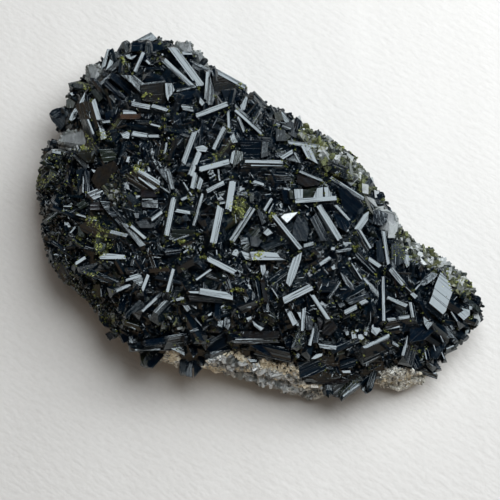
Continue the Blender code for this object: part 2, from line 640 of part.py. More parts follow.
def main():
    """Builds the specimen's nodes, each clear of the next by GAP."""
    for old in list(bpy.data.objects):
        bpy.data.objects.remove(old, do_unlink=True)
    rock = material("matrix_rock", (0.42, 0.36, 0.27), 0.85)
    clear = material("quartz", (0.45, 0.46, 0.44), 0.35)
    dark = material("epidote", (0.012, 0.018, 0.014), 0.15)
    matrix = build_matrix(rock)
    quartz = build_quartz(clear)
    crust, guides = build_epidote(dark)
    cutters = [grown(matrix, GAP)]
    for crystal in quartz:
        apply_boolean(crystal, "DIFFERENCE", cutters[0])
        keep_largest_body(crystal)
        cutters.append(grown(crystal, GAP))
    for cutter in cutters:
        apply_boolean(crust, "DIFFERENCE", cutter)
    keep_largest_body(crust)
    for cutter in cutters + [guides]:
        bpy.data.objects.remove(cutter, do_unlink=True)


main()
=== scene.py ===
"""Looks of the epidote specimen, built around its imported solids.

Lengths are in millimetres until a mesh is made, and in metres from there on. The crystals that the
photograph shows one by one are listed as pixel pairs, and Sight gives the point behind a pixel.
"""
import logging
import math
from dataclasses import dataclass, field, replace
from enum import Enum
from random import Random
from typing import Callable, Iterator, Sequence

import bmesh
import bpy
import numpy as np
from mathutils import Matrix, Vector, noise
from mathutils.bvhtree import BVHTree
from mathutils.geometry import delaunay_2d_cdt


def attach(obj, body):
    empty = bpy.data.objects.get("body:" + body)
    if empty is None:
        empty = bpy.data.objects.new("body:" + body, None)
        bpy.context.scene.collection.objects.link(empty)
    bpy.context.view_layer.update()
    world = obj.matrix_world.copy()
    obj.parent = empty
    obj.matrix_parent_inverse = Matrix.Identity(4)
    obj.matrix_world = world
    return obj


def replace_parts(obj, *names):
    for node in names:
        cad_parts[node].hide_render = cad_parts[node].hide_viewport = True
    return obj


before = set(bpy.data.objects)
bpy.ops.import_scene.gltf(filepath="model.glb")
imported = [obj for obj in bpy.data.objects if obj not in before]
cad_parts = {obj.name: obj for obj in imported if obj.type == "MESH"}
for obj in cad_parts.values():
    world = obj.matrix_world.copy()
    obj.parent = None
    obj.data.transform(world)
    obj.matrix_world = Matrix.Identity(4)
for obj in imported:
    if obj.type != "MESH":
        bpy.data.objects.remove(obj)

log = logging.getLogger("epidote_specimen")

MM = 0.001
SEED = 4
BODY = "root"

Pixel = tuple[float, float]
Colour = tuple[float, float, float]
Stops = Sequence[tuple[float, Colour]]
Look = tuple[float, float, float, float]
Lath = tuple[float, float, float, float, float, float, float]
Socket = bpy.types.NodeSocket
Input = Socket | float | Sequence[float]


class Slot(Enum):
    """The record's material slots."""

    ROCK = "matrix_rock"
    QUARTZ = "quartz"
    EPIDOTE = "epidote"


# The crust's rim, clockwise from the north, in pixels
RIM: list[Pixel] = [
    (150, 38), (170, 43), (188, 47), (204, 58), (216, 75), (239, 89), (260, 102), (279, 112), (297, 123),
    (317, 133), (335, 142), (350, 155), (365, 171), (377, 190), (390, 205), (398, 226), (414, 241),
    (434, 253), (450, 267), (468, 277), (478, 296), (480, 314), (465, 331), (449, 342), (438, 356),
    (420, 365), (400, 371), (380, 373), (360, 375), (340, 379), (318, 379), (296, 375), (274, 367),
    (252, 363), (230, 360), (208, 357), (186, 360), (166, 353), (146, 350), (130, 336), (114, 325),
    (105, 314), (91, 297), (75, 283), (60, 268), (52, 253), (47, 232), (46, 210), (41, 186), (44, 166),
    (47, 150), (62, 134), (60, 118), (69, 104), (73, 90), (87, 77), (102, 64), (119, 52), (134, 44),
]

# The rock's widest outline, clockwise from the north, in millimetres
ROCK_OUTLINE: list[tuple[float, float]] = [
    (-30.1, 44.7), (-21.1, 42.7), (-13.2, 35.7), (-4.2, 29.7), (3.9, 24.7), (11.8, 19.7), (20.9, 13.7),
    (27.9, 5.7), (33.9, -2.3), (39.9, -9.3), (47.9, -14.3), (54.9, -22.3), (56.4, -29.3), (51.9, -36.3),
    (48.4, -43.3), (46.4, -48.3), (38.9, -49.7), (31.9, -46.9), (24.9, -48.9), (15.8, -51.7), (7.8, -50.9),
    (-1.1, -46.9), (-9.2, -45.3), (-15.2, -43.3), (-22.1, -41.3), (-27.1, -40.9), (-30.1, -37.3),
    (-35.1, -32.3), (-39.1, -25.3), (-45.1, -18.3), (-49.6, -10.3), (-52.1, -1.3), (-53.1, 8.7),
    (-51.1, 16.7), (-47.6, 22.7), (-46.1, 30.7), (-42.1, 38.2), (-36.1, 42.7),
]

# Laths: both ends in pixels, face width in millimetres, turn away from the bright attitude in
# degrees, and height of the face above the crust in millimetres
NORTH_LATHS: list[Lath] = [
    (176, 91, 197, 87, 0.5, 11, 2.2), (150, 105, 168, 110, 1.1, 6, 3), (134, 74, 144, 51, 1.1, 0, 2.5),
    (172, 47, 202, 87, 2.2, 0, 4), (162, 58, 195, 89, 1.4, 8, 3), (208, 70, 206, 104, 1.1, 2, 3.5),
    (213, 69, 246, 87, 1.4, 10, 2), (130, 103, 168, 111, 1.4, 4, 3), (195, 116, 229, 103, 1.4, 9, 3),
    (228, 111, 229, 129, 0.8, 6, 2), (234, 109, 262, 134, 0.8, 2, 2.5), (238, 116, 245, 133, 0.8, 8, 2),
    (131, 133, 149, 136, 1.4, 2, 2), (148, 136, 160, 136, 0.8, 5, 1.6), (150, 124, 161, 127, 0.6, 8, 1.8),
    (225, 126, 213, 150, 1.1, 1, 2.5), (195, 131, 183, 164, 1.4, 2, 3), (93, 99, 101, 127, 1.4, 1, 3),
    (87, 118, 96, 141, 0.8, 7, 2), (182, 53, 193, 53, 1, 3, 2.5), (146, 60, 150, 64, 0.7, 4, 2),
    (102, 122, 111, 121, 0.8, 2, 2), (122, 112, 137, 112, 1.2, 3, 2.4), (162, 64, 166, 68, 0.6, 6, 2),
    (161, 55, 168, 53, 0.7, 6, 2), (167, 128, 169, 140, 0.5, 6, 1.8), (167, 142, 164, 155, 0.7, 8, 1.8),
    (194, 92, 201, 99, 1, 16, 1.5), (199, 152, 204, 103, 0.5, 24, 0.8), (280, 112, 289, 122, 1.6, 10, 1.2),
]
CENTRE_LATHS: list[Lath] = [
    (172, 241, 195, 233, 0.5, 12, 1.9), (297, 170, 323, 181, 0.7, 12, 1.8),
    (294, 152, 300, 163, 0.5, 10, 2), (200, 151, 190, 176, 1.4, 3, 2.6), (196, 172, 192, 190, 1.3, 5, 2.6),
    (202, 177, 198, 190, 1.2, 4, 2.2), (198, 170, 231, 161, 1.5, 2, 3.6), (234, 150, 231, 164, 1, 9, 2.2),
    (205, 192, 225, 182, 1.2, 2, 2.6), (233, 180, 228, 212, 1.8, 1, 3.4), (221, 205, 213, 244, 1.9, 1, 4.2),
    (174, 197, 166, 237, 1.4, 3, 3.2), (174, 210, 191, 213, 1, 4, 2.2), (151, 220, 163, 211, 0.9, 3, 2.2),
    (138, 176, 157, 190, 1, 4, 2.6), (135, 168, 161, 184, 1.2, 6, 3.4), (203, 193, 193, 228, 0.8, 9, 1.8),
    (181, 200, 187, 197, 0.9, 4, 1.6), (219, 203, 227, 202, 0.8, 4, 2.4),
    (254, 206, 231, 242, 1.6, 11, 2.8), (243, 161, 285, 162, 1, 4, 3.2), (250, 165, 285, 165, 0.6, 7, 2.2),
    (280, 159, 293, 151, 1.1, 5, 3), (287, 142, 320, 147, 1.2, 4, 2.4), (295, 201, 337, 198, 1.3, 4, 3.8),
    (318, 204, 341, 241, 1.6, 4, 3.4), (332, 201, 351, 222, 0.8, 10, 2.2),
    (272, 213, 301, 249, 1.1, 3, 3.4), (272, 198, 264, 211, 0.8, 5, 2.2), (274, 203, 268, 214, 0.4, 5, 1.8),
    (303, 246, 314, 243, 1, 5, 3), (358, 227, 372, 250, 0.7, 9, 1.8), (330, 177, 364, 199, 1.1, 10, 2.6),
    (168, 170, 173, 190, 1.1, 13, 1.6), (253, 181, 265, 185, 0.8, 9, 1.8), (236, 194, 248, 193, 1, 13, 1.6),
    (218, 168, 220, 182, 0.6, 10, 1.6), (209, 178, 216, 174, 0.9, 8, 1.6),
    (183, 182, 192, 196, 0.5, 9, 1.4), (343, 232, 349, 230, 0.6, 8, 1.4), (331, 248, 335, 249, 0.9, 2, 1.4),
    (157, 184, 170, 193, 0.4, 10, 1.6),
]
WEST_LATHS: list[Lath] = [
    (108, 231, 129, 236, 1, 3, 2.4), (129, 224, 146, 239, 0.9, 4, 2.2), (100, 261, 124, 264, 0.8, 9, 2),
    (75, 264, 86, 257, 0.9, 4, 2), (84, 167, 83, 193, 0.5, 9, 1.8), (127, 162, 129, 156, 0.8, 3, 2),
    (63, 206, 72, 206, 0.5, 3, 1.8), (76, 214, 86, 217, 0.5, 4, 1.8), (108, 206, 134, 238, 2.4, 34, 1),
    (70, 233, 76, 226, 0.5, 6, 1.6), (142, 199, 153, 199, 0.5, 12, 1.6), (66, 262, 72, 273, 0.8, 9, 1.8),
    (52, 151, 62, 153, 0.9, 8, 1.5), (122, 189, 138, 204, 2.6, 30, 1.4), (90, 217, 120, 232, 3, 36, 0.6),
]
SOUTH_LATHS: list[Lath] = [
    (146, 345, 176, 342, 0.4, 9, 3), (168, 337, 190, 333, 0.7, 11.5, 3.2),
    (133, 350, 176, 349, 0.5, 11, 1.2), (233, 339.5, 278, 338.5, 0.4, 12, 2.6),
    (271, 287, 279, 299, 0.4, 12, 1.8), (209, 341, 228, 331, 0.5, 9, 1.9),
    (341, 398, 379, 369, 0.7, 10, -1.4), (304, 378, 350, 379, 0.4, 12, -0.9),
    (422, 369, 437, 374, 0.5, 8, -0.4), (207, 258, 236, 273, 1.5, 2, 3.4),
    (213, 268, 196, 280, 0.6, 4, 2.2), (149, 273, 142, 291, 0.9, 3, 2.2), (174, 267, 167, 293, 0.9, 5, 2.4),
    (164, 291, 140, 313, 0.9, 10, 2.2), (177, 290, 155, 313, 1.4, 14, 1.8), (175, 300, 185, 298, 0.7, 4, 2),
    (225, 305, 206, 317, 0.6, 5, 2), (124, 281, 139, 276, 0.8, 9, 2), (114, 292, 139, 280, 1, 10, 2.2),
    (210, 341, 228, 330, 0.5, 8, 1.8), (210, 354, 231, 347, 0.9, 10, 1.8),
    (313, 269, 331, 257, 1.1, 10, 2.2), (283, 301, 313, 286, 1.9, 1, 3.8), (311, 293, 329, 320, 1, 5, 2.6),
    (256, 278, 261, 303, 0.8, 22, 2), (341, 281, 329, 299, 0.5, 13, 2), (246, 263, 251, 272, 0.7, 10, 1.6),
    (216, 244, 217, 256, 0.4, 9, 1.4), (183, 253, 189, 249, 0.5, 6, 1.4),
    (262, 344, 292, 351, 1.6, 26, 1.8), (330, 352, 362, 338, 1.6, 24, 2),
    (164, 246, 196, 236, 1.4, 26, 1.2), (230, 308, 262, 296, 1.4, 28, 1.4),
    (340, 300, 366, 286, 1.5, 28, 1.4),
]
EAST_LATHS: list[Lath] = [
    (340, 289, 352, 289, 0.4, 12, 1.8), (391, 371, 404, 366, 0.5, 12, 0.2),
    (415, 290, 420, 284, 0.5, 9, 1.8), (383, 230, 389, 267, 1, 8, 2.6), (368, 258, 381, 267, 1.1, 3, 2.4),
    (390, 268, 404, 285, 1.3, 4, 2.8), (383, 274, 384, 323, 0.8, 7, 3), (386, 297, 407, 306, 1, 9, 2.2),
    (410, 301, 413, 318, 0.9, 9, 2.2), (386, 320, 412, 316, 1, 8, 2.4), (344, 313, 358, 306, 1.3, 3, 2.6),
    (359, 304, 368, 300, 1.1, 3, 2), (351, 262, 363, 281, 0.4, 7, 1.8), (334, 252, 352, 249, 0.8, 14, 1.8),
    (363, 348, 390, 335, 1.1, 8, 2.4), (392, 342, 399, 346, 0.8, 3, 1.8), (409, 333, 402, 358, 0.8, 9, 2),
    (450, 310, 458, 322, 0.4, 5, 2), (439, 300, 470, 318, 1.8, 26, 1.6), (444, 322, 470, 326, 1.6, 24, 1.4),
    (430, 318, 452, 336, 1.6, 28, 1.4), (420, 300, 436, 330, 1.4, 24, 1.6),
    (420, 333, 440, 346, 1.4, 20, 1.2), (355, 252, 376, 274, 1.6, 28, 1.4),
    (424, 347, 427, 361, 0.35, 8, 1), (438, 330, 444, 343, 0.35, 8, 1.4), (432, 340, 436, 352, 0.3, 9, 1.2),
    (441, 350, 445, 360, 0.4, 8, 0.4), (419, 352, 433, 366, 0.35, 9, 0.6),
    (446, 349, 455, 345, 0.4, 9, 0.4),
]
LATHS: list[Lath] = NORTH_LATHS + CENTRE_LATHS + WEST_LATHS + SOUTH_LATHS + EAST_LATHS

# The warmth that marks a face without ribs
PLAIN = 0.05

# Broad faces, one by one: turn away from the bright attitude in degrees, height above the crust
# in millimetres, warmth of tint, and corners in pixels, clockwise
FACES: list[tuple[float, ...]] = [
    (16.5, 0.8, 0, 49, 114, 52, 110, 57, 108, 63, 107.5, 68, 107.5, 66, 113, 60, 117, 54, 118),
    (24, 0.4, 0, 49, 115, 54, 118.5, 60, 117.5, 66, 113.5, 66, 120, 64, 126, 61, 130, 58, 127, 52, 121),
    (12.5, 1, 0, 134, 41, 151, 32, 158, 39, 152, 41),
    (27, 1.4, 0, 132, 42, 157, 42, 172, 44, 172, 50, 150, 51, 131, 51),
    (13, 1.2, 0, 105, 72, 122, 42, 127, 40, 130, 42, 113, 65),
    (12, 1, 0, 100, 70, 107, 49, 110, 49, 104, 71), (9, 1.2, 0, 106, 70, 110, 59, 114, 62, 110, 69),
    (9, 1.6, 0, 124, 48, 129, 46, 130, 51, 126, 52),
    (11, 1.6, 0, 125, 55, 132, 53, 137, 55, 132, 60, 127, 58),
    (26, 0.2, 0.75, 94, 64, 100, 61, 100, 66, 96, 66),
    (19, 1.8, 0, 112, 72, 121, 76, 131, 85, 139, 96, 134, 99, 122, 88, 110, 78),
    (24, 1.6, 0, 105, 79, 109, 78, 121, 88, 133, 100, 128, 101, 114, 93, 104, 85),
    (14.5, 2.2, 0.1, 121, 75, 134, 75, 145, 84, 148, 97, 141, 94, 131, 83),
    (12, 2.1, 0, 99, 83, 112, 72, 114, 74, 101, 85), (24, 1.4, 0.55, 90, 90, 97, 89, 103, 98, 99, 102),
    (3, 2, 0, 95, 85, 99, 85, 99, 88, 96, 88), (3, 1.8, 0, 77, 107, 85, 92, 86, 108),
    (6, 1.4, 0, 69, 120, 71, 114, 75, 108, 78, 110, 77, 117, 72, 121),
    (15, 1.5, 0, 86, 93, 90, 99, 92, 108, 86, 109), (6, 1.8, 0, 99, 127, 104, 129, 107, 138, 101, 140),
    (3, 2.2, 0, 121, 134, 127, 131, 130, 133, 129, 139, 123, 138),
    (22, 2, 1, 120, 114, 138, 114, 146, 109, 147, 112, 139, 119, 121, 119),
    (22, 1.2, 0, 105, 113, 112, 109, 118, 118, 112, 126, 106, 124),
    (19, 0.4, 0.6, 68, 83, 72, 82, 88, 87, 80, 90, 70, 90), (16, 0.3, 0, 81, 80, 84, 75, 86, 76, 86, 84),
    (18, 0.2, 0.5, 66, 100, 70, 97, 76, 96, 76, 108, 67, 108),
    (22, 2, 0.75, 141, 85, 166, 82, 166, 100, 162, 104, 143, 101),
    (12, 2.5, 0.2, 141, 83.5, 165, 80.5, 166, 82, 141, 85.5),
    (9, 2, 0, 165, 83, 172, 83, 175, 90, 170, 97, 166, 97), (3, 2.4, 0, 166, 96, 170, 94, 168, 101),
    (26, 1.6, 0, 172, 95, 188, 90, 199, 90, 196, 97, 176, 101),
    (4, 2.4, 0, 200, 97, 205, 103, 202, 106, 199, 103),
    (14, 2.2, 0.1, 210, 75, 214, 90, 215, 105, 208, 105),
    (23, 1.4, 0.75, 213, 76, 222, 77, 236, 86, 237, 89, 215, 93),
    (19, 1.2, 0, 221, 90, 236, 90, 241, 100, 226, 104),
    (12.5, 1.4, 0.3, 180, 104, 192, 105, 194, 112, 183, 110),
    (10, 2, 0, 240, 106, 246, 96, 248, 98, 245, 110, 241, 111),
    (6, 1.8, 0, 195, 147, 203, 145, 208, 148, 206, 152, 197, 151),
    (15.5, 1.8, 0, 262, 141, 268, 142, 268, 156, 261, 158),
    (27, 1.6, 0, 240, 140, 261, 140, 260, 159, 242, 159),
    (13.5, 2, 0.45, 236, 150, 243, 152, 243, 160, 233, 167),
    (12.5, 1.4, 0, 157, 169, 169, 168, 175, 181, 173, 190, 166, 181),
    (24, 1.4, 0.6, 172, 229, 196, 230, 193, 235, 172, 242),
    (14.5, 1.2, 0, 141, 200, 158, 200, 158, 208, 142, 207),
    (13.5, 1.2, 0.1, 250, 237, 257, 236, 262, 241, 258, 247, 251, 246),
    (14, 1.2, 0, 240, 237, 247, 237, 249, 243, 241, 245),
    (14, 1.2, 0.4, 249, 192, 254, 193, 254, 201, 250, 202),
    (16, 1.4, 0, 257, 210, 266, 207, 269, 220, 262, 225),
    (17.5, 1.8, 0.1, 292, 240, 293, 226, 298, 214, 302, 214, 309, 228, 307, 241),
    (18.5, 1.6, 0.1, 310, 219, 316, 213, 326, 229, 330, 241, 321, 241),
    (27, 1.4, 0, 330, 206, 342, 207, 352, 223, 346, 232, 338, 226),
    (28, 1.2, 0, 338, 188, 347, 189, 363, 204, 364, 226, 354, 222, 342, 205),
    (5, 3.2, 0, 294, 189, 303, 189, 303, 198, 295, 199),
    (5, 3.2, 0, 317, 188, 323, 187, 323, 198, 313, 198), (5, 3, 0, 324, 187, 328, 187, 333, 197, 325, 198),
    (21, 2.2, 0.5, 303, 190, 317, 187, 313, 197, 303, 198),
    (27, 1.4, 0, 281, 189, 289, 190, 295, 206, 284, 203),
    (15, 2.4, 0.5, 289, 190, 293, 190, 294, 199, 290, 199),
    (12, 2, 0, 283, 187, 290, 188, 291, 191, 284, 190),
    (24, 1.2, 0.8, 297, 171, 310, 174, 320, 184, 306, 187, 297, 182),
    (17, 0.8, 0.6, 312, 133, 319, 129, 321, 139, 315, 141),
    (13, 0.8, 0, 321, 144, 331, 141, 327, 150, 322, 150),
    (16.5, 0.8, 0, 287, 122, 292, 121, 300, 130, 296, 138, 288, 134),
    (17, 1, 0.6, 274, 113, 281, 111, 284, 120, 276, 122),
    (16, 1.6, 0.2, 275, 128, 285, 130, 287, 141, 276, 141),
    (6, 2.8, 0, 301, 146, 309, 145, 313, 152, 318, 164, 307, 158),
    (10, 0.8, 0, 341, 180, 350, 181, 352, 186, 346, 187),
    (3, 3, 0, 354, 229, 358, 222, 364, 214, 369, 211, 368, 220, 361, 230),
    (5, 2, 0, 263, 233, 268, 228, 273, 233, 267, 236),
    (21, 2, 0.7, 76, 153, 84, 150, 99, 149.5, 103, 161, 88, 163),
    (19, 1.8, 0.5, 99, 149.5, 111, 149, 117, 155, 114, 160, 104, 163, 101, 157),
    (15.5, 1.6, 0, 72, 155, 78, 154, 90, 168, 84, 168), (5, 1.8, 0, 91, 169, 96, 170, 94, 173),
    (33, 1.8, 0.78, 91, 180, 97, 168, 114, 161, 118, 168, 110, 186, 98, 190),
    (19, 1.4, 0, 76, 170, 83.5, 168, 83.5, 196, 78, 193),
    (22, 1.4, 0, 84.5, 168, 90, 172, 90, 195, 85.5, 198), (8, 1, 0, 57, 174, 60, 168, 63, 176, 62, 181),
    (20, 1, 0.5, 76, 204, 84, 200, 89, 205, 80, 210), (22, 1, 0.92, 90, 204, 100, 201, 104, 210, 90, 210),
    (14, 1, 0.2, 100, 201, 117, 202, 118, 210, 105, 210),
    (13, 1.2, 0, 106, 211, 118, 212, 118, 216, 112, 217),
    (13, 1.2, 0.1, 120, 177, 128, 180, 130, 190, 123, 188),
    (7, 1.4, 0, 113, 190, 116, 190, 118, 197, 115, 198),
    (25, 1.2, 0.92, 140, 184, 156, 191, 156, 197, 141, 197),
    (11, 1.4, 0, 134, 213, 139, 213, 139, 218, 135, 218),
    (17, 1, 0, 136, 222, 146, 219, 156, 224, 152, 228, 140, 228),
    (13.5, 1.8, 0.1, 120, 222, 127, 224, 146, 245, 140, 247),
    (9, 0.8, 0, 57, 223, 62, 221, 64, 231, 59, 230), (10, 0.8, 0, 64, 222, 69, 222, 71, 227, 65, 228),
    (15, 1, 0.5, 78, 226, 86, 224, 86, 238, 78, 236),
    (16, 1.4, 0.5, 96, 236, 100, 230, 105, 232, 110, 236, 108, 242, 104, 250, 97, 254, 94, 247),
    (12, 1.4, 0.5, 88, 217, 97, 220, 94, 225, 89, 221),
    (1, 3.2, 0, 99, 257, 104, 253, 125, 255, 126, 259, 100, 259),
    (14, 1, 0.1, 100, 285, 106, 286, 106, 296, 101, 297),
    (6, 0.8, 0, 111, 314, 113, 309, 120, 314, 121, 320, 117, 324, 113, 320),
    (13, 0.6, 0, 104, 310, 111, 313, 112, 320, 106, 318),
    (20, 0, 0, 99, 312, 104, 318, 110, 328, 104, 326, 99, 320),
    (24, -1, 0.8, 105, 334, 109, 332, 114, 336, 110, 341),
    (19, -0.6, 0.55, 112, 328, 118, 330, 117, 336, 112, 333),
    (22, -0.5, 0.1, 120, 335, 129, 331, 130, 340, 124, 343),
    (9, 0.5, 0, 129, 336, 134, 335, 137, 343, 129, 343), (25, 0, 0, 127, 343, 146, 341, 146, 347, 130, 349),
    (24, 2.4, 0, 145, 340, 190, 333, 194, 340, 146, 346),
    (24, -1, 0.55, 140, 353, 150, 353, 147, 361, 144, 366, 141, 360),
    (13.5, -0.2, 0, 147, 362, 157, 352, 167, 352, 153, 368, 148, 367),
    (5, 1.6, 0, 189, 349, 196, 343, 198, 353, 193, 358),
    (16.5, -1.2, 0, 178, 352, 189, 350, 193, 358, 192, 377, 186, 376, 180, 368),
    (15, -1, 0, 193, 358, 199, 352, 206, 356, 203, 367, 194, 377),
    (12, 1.6, 0, 182, 304, 187, 303, 191, 309, 187, 312),
    (16, 0.8, 0, 148, 315, 156, 313, 160, 322, 152, 326),
    (14.5, 0.8, 0, 160, 316, 166, 314, 170, 326, 163, 329),
    (19, 0.8, 0, 171, 314, 180, 316, 180, 326, 172, 327),
    (26, 1.2, 0, 209, 343, 226, 337, 228, 345, 211, 353, 207, 350),
    (24, 1.8, 0.8, 231, 331, 279, 331, 279, 337.5, 231, 338.5),
    (18, 2.2, 0.85, 231, 340.5, 278, 339.5, 279, 343, 236, 344),
    (28, 1, 0, 250, 345, 279, 344, 292, 352, 290, 362, 266, 355),
    (6, 0.6, 0, 250, 354, 254, 353, 255, 357, 251, 357),
    (8, 0.4, 0, 247, 358, 257, 359, 257, 362, 250, 362),
    (11, 2, 0.1, 293, 352, 300, 353, 310, 360, 304, 361, 296, 358),
    (3, 2, 0, 311, 359, 316, 354, 323, 353, 322, 356, 315, 359),
    (28, 0.8, 0, 298, 362, 312, 361, 330, 358, 334, 366, 312, 376, 300, 378, 299, 370),
    (14.5, 1.4, 0, 284, 340, 292, 338, 297, 345, 292, 350, 286, 347),
    (11.5, 1.6, 0, 224, 316, 230, 314, 231, 324, 228, 330, 224, 326),
    (7, 1.8, 0, 246, 318, 251, 316, 252, 319, 248, 322),
    (4, 2.2, 0, 252, 320, 258, 325, 264, 328, 261, 331, 254, 326),
    (12.5, 1, 0, 242, 294, 248, 297, 250, 302, 246, 304),
    (14, 1, 0, 252, 290, 256, 295, 257, 302, 252, 300),
    (14.5, 1, 0, 246, 302, 254, 303, 250, 309, 245, 307),
    (12.5, 1.2, 0, 262, 305, 268, 303, 270, 312, 264, 312),
    (20, 1.6, 0.8, 260, 278, 264, 277, 268, 300, 264, 302),
    (4, 3.6, 0, 302, 252, 301, 259, 295, 277, 290, 287, 286, 283, 288, 273, 293, 258),
    (2, 3.4, 0, 250, 252, 259, 251, 277, 253, 281, 258, 286, 260, 252, 260),
    (3, 3.2, 0, 200, 288, 226, 292, 233, 296, 233, 300, 199, 294),
    (7, 3, 0, 188, 291, 199, 291, 199, 293.5, 190, 293),
    (22, 2.6, 0.8, 188, 295, 215, 297, 226, 301, 224, 303.5, 190, 301),
    (8, 2, 0, 260, 263, 265, 263, 266, 270, 263, 276, 261, 272),
    (9, 2, 0, 285, 309, 290, 309, 298, 323, 293, 326), (7, 2.2, 0, 302, 309, 306, 307, 304, 331, 301, 331),
    (5, 2, 0, 297, 312, 301, 312, 301, 320), (7, 1.8, 0, 313, 326, 314.5, 330, 311, 346, 308, 345),
    (16.5, 1.2, 0, 305, 315, 314, 317, 312, 330, 306, 330),
    (17, 1, 0, 315, 316, 320, 325, 318, 343, 313, 343),
    (12, 2.2, 0, 318, 343, 337, 346, 336, 350, 320, 348),
    (12.5, 1.6, 0, 340, 272, 346, 276, 352, 284, 355, 290, 350, 290, 343, 280),
    (27, 1.2, 0, 336, 290, 347, 285, 352, 290, 346, 300, 336, 301),
    (15.5, 1.4, 0, 345, 300, 358, 296, 368, 292, 370, 297, 350, 305),
    (14.5, 1.2, 0, 337, 303, 344, 301, 345, 306, 340, 308),
    (5, 2.2, 0, 372, 324, 376, 322, 381, 330, 376, 336, 371, 332),
    (20, 1.4, 0.85, 317, 318, 329, 312, 333, 318, 323, 321, 320, 330),
    (26, 1, 0.8, 324, 323, 332, 319, 338, 328, 330, 336, 322, 334),
    (27, 0.6, 0, 340, 362, 352, 358, 360, 360, 352, 368, 340, 369),
    (6, 0.5, 0, 341, 370, 350, 369, 351, 373, 343, 373),
    (19, -1.5, 0.85, 304, 379, 318, 376, 350, 380, 347, 383, 306, 384),
    (21, -2.2, 0.8, 330, 385, 352, 382, 372, 372, 341, 398, 334, 397),
    (12, -3, 0, 361, 384, 370, 382, 370, 392, 366, 394, 361, 389),
    (17, -3, 0.55, 322, 385, 329, 385, 329, 398, 323, 393),
    (18, 1.6, 0, 376, 243, 381, 238, 385, 262, 377, 262),
    (14.6, 1.4, PLAIN, 391, 244, 398, 242, 405, 250, 404, 262, 398, 266, 391, 262),
    (4, 1.6, 0, 404, 254, 412, 256, 411, 264, 407, 268, 404, 262),
    (8, 1, 0, 416, 251, 424, 250, 423, 259, 417, 261),
    (13, 1.6, 0, 419, 285, 422, 279, 432, 272, 438, 274, 434, 280, 424, 286),
    (2, 3.2, PLAIN, 440.5, 272, 449, 280, 453, 291, 449, 302, 446, 311, 443, 314.5, 429, 303, 432, 295, 435,
     285),
    (26, 2.2, 0, 423, 306, 429, 302, 443, 315, 441, 321),
    (4, 1.8, 0, 456, 309.5, 461, 307.5, 470, 310, 470, 315, 464, 320.5, 457, 314),
    (3, 1.8, 0, 469, 305.5, 472.5, 306.5, 472, 310, 469, 309.5),
    (14, 2, 0.45, 464, 297, 468, 297, 481, 309, 479, 312, 474, 309),
    (14.5, 1.8, 0, 457, 292, 461, 291, 468, 301, 464, 303),
    (12, 1.5, 0, 447.5, 322, 451, 321.5, 455, 329, 452, 330),
    (11, 1, 0, 446, 333, 449, 332, 455, 340, 452, 342),
    (13, 0.6, 0.45, 464, 326, 470, 325, 469, 332, 465, 336),
    (1, 2.4, 0, 351, 332, 355, 332, 357, 338, 352, 339),
    (0, 2.4, 0, 358, 334.5, 362, 334, 365, 338, 361, 340.5, 358, 338),
    (4, 2.2, 0, 345, 331.5, 349, 331, 349, 335, 346, 335.5),
    (8, 2.2, 0, 355, 329.5, 359, 329.5, 358, 332, 355, 332),
    (9, 2.2, 0, 364, 331, 368, 332, 367, 336, 364, 335),
    (15, 2.2, 0, 373, 211, 378, 209, 388, 214, 387, 222, 382, 226, 373, 224),
    (12, 1.4, 0.1, 423, 316, 430, 313, 434, 322, 428, 330, 424, 324),
    (27, 1.2, 0, 412, 319, 422, 313, 426, 326, 434, 331, 424, 340, 410, 342, 410, 330),
    (26, 0.6, 0, 430, 332, 444, 335, 446, 345, 438, 358, 431, 358),
    (15, 1, 0, 437, 322, 446, 323, 452, 330, 455, 338, 448, 338, 440, 330),
    (18, -0.5, 0.6, 450, 341, 460, 340, 458, 346, 452, 350),
    (6, 1.8, 0, 413, 292, 418, 296, 415, 299, 410, 294),
    (19, 1.4, 0.75, 386, 269, 390, 270, 414, 292, 410, 293),
    (27, 0, 0, 405, 351, 416, 352, 422, 366, 412, 372, 405, 362),
    (14, -0.8, 0, 424, 368, 430, 366, 441, 366, 438, 371, 434, 373),
    (13, -1, 0, 440, 352, 444, 351, 443, 362, 439, 358),
]

# Blocks of cloudy quartz too small for a solid of their own: height, shade, and corners in pixels
QUARTZ_BLOCKS: list[tuple[float, ...]] = [
    # The first block gets the palest shade, 1, so that it shows white: partly pale quartz, partly a painted
    # highlight standing in for glare on that face
    (2.4, 1, 281, 217, 284, 214, 298, 212, 287, 223), (1, 0.8, 291, 121, 300, 115, 303, 126, 297, 129),
    (0.6, 0.6, 323, 137, 328, 135, 334, 140, 325, 142),
    (0.6, 0.85, 344, 151, 350, 154, 354, 162, 350, 166, 345, 159),
    (0.4, 0.45, 357, 169, 364, 170, 364, 176, 358, 179), (0.2, 0.8, 366, 177, 373, 177, 374, 183, 368, 187),
    (1, 0.6, 359, 180, 366, 181, 364, 187, 358, 186), (0.4, 0.85, 374, 190, 379, 191, 380, 197, 375, 198),
    (0.4, 0.45, 441, 262, 450, 261, 450, 270, 443, 271), (0.8, 0.8, 446, 270, 452, 271, 450, 276, 446, 275),
    (0.8, 0.6, 51, 149, 62, 149, 62, 153, 54, 152), (0.5, 0.85, 458, 276, 466, 276, 468, 284, 460, 284),
    (0.5, 0.45, 403, 236, 410, 239, 409, 246, 402, 243), (1.4, 0.8, 181, 52, 190, 51, 193, 54, 184, 55),
    (0.6, 0.45, 413, 243, 420, 243, 421, 249, 414, 249), (0.6, 0.8, 428, 255, 434, 257, 433, 264, 427, 262),
    (1.6, 0.7, 375, 207, 383, 206, 394, 214, 399, 222, 396, 238, 388, 238, 389, 224, 384, 214),
    (1.6, 0.7, 473, 311, 478, 313, 481, 320, 478, 326, 474, 320),
    (0.8, 0.6, 366, 196, 374, 199, 378, 207, 372, 206),
]

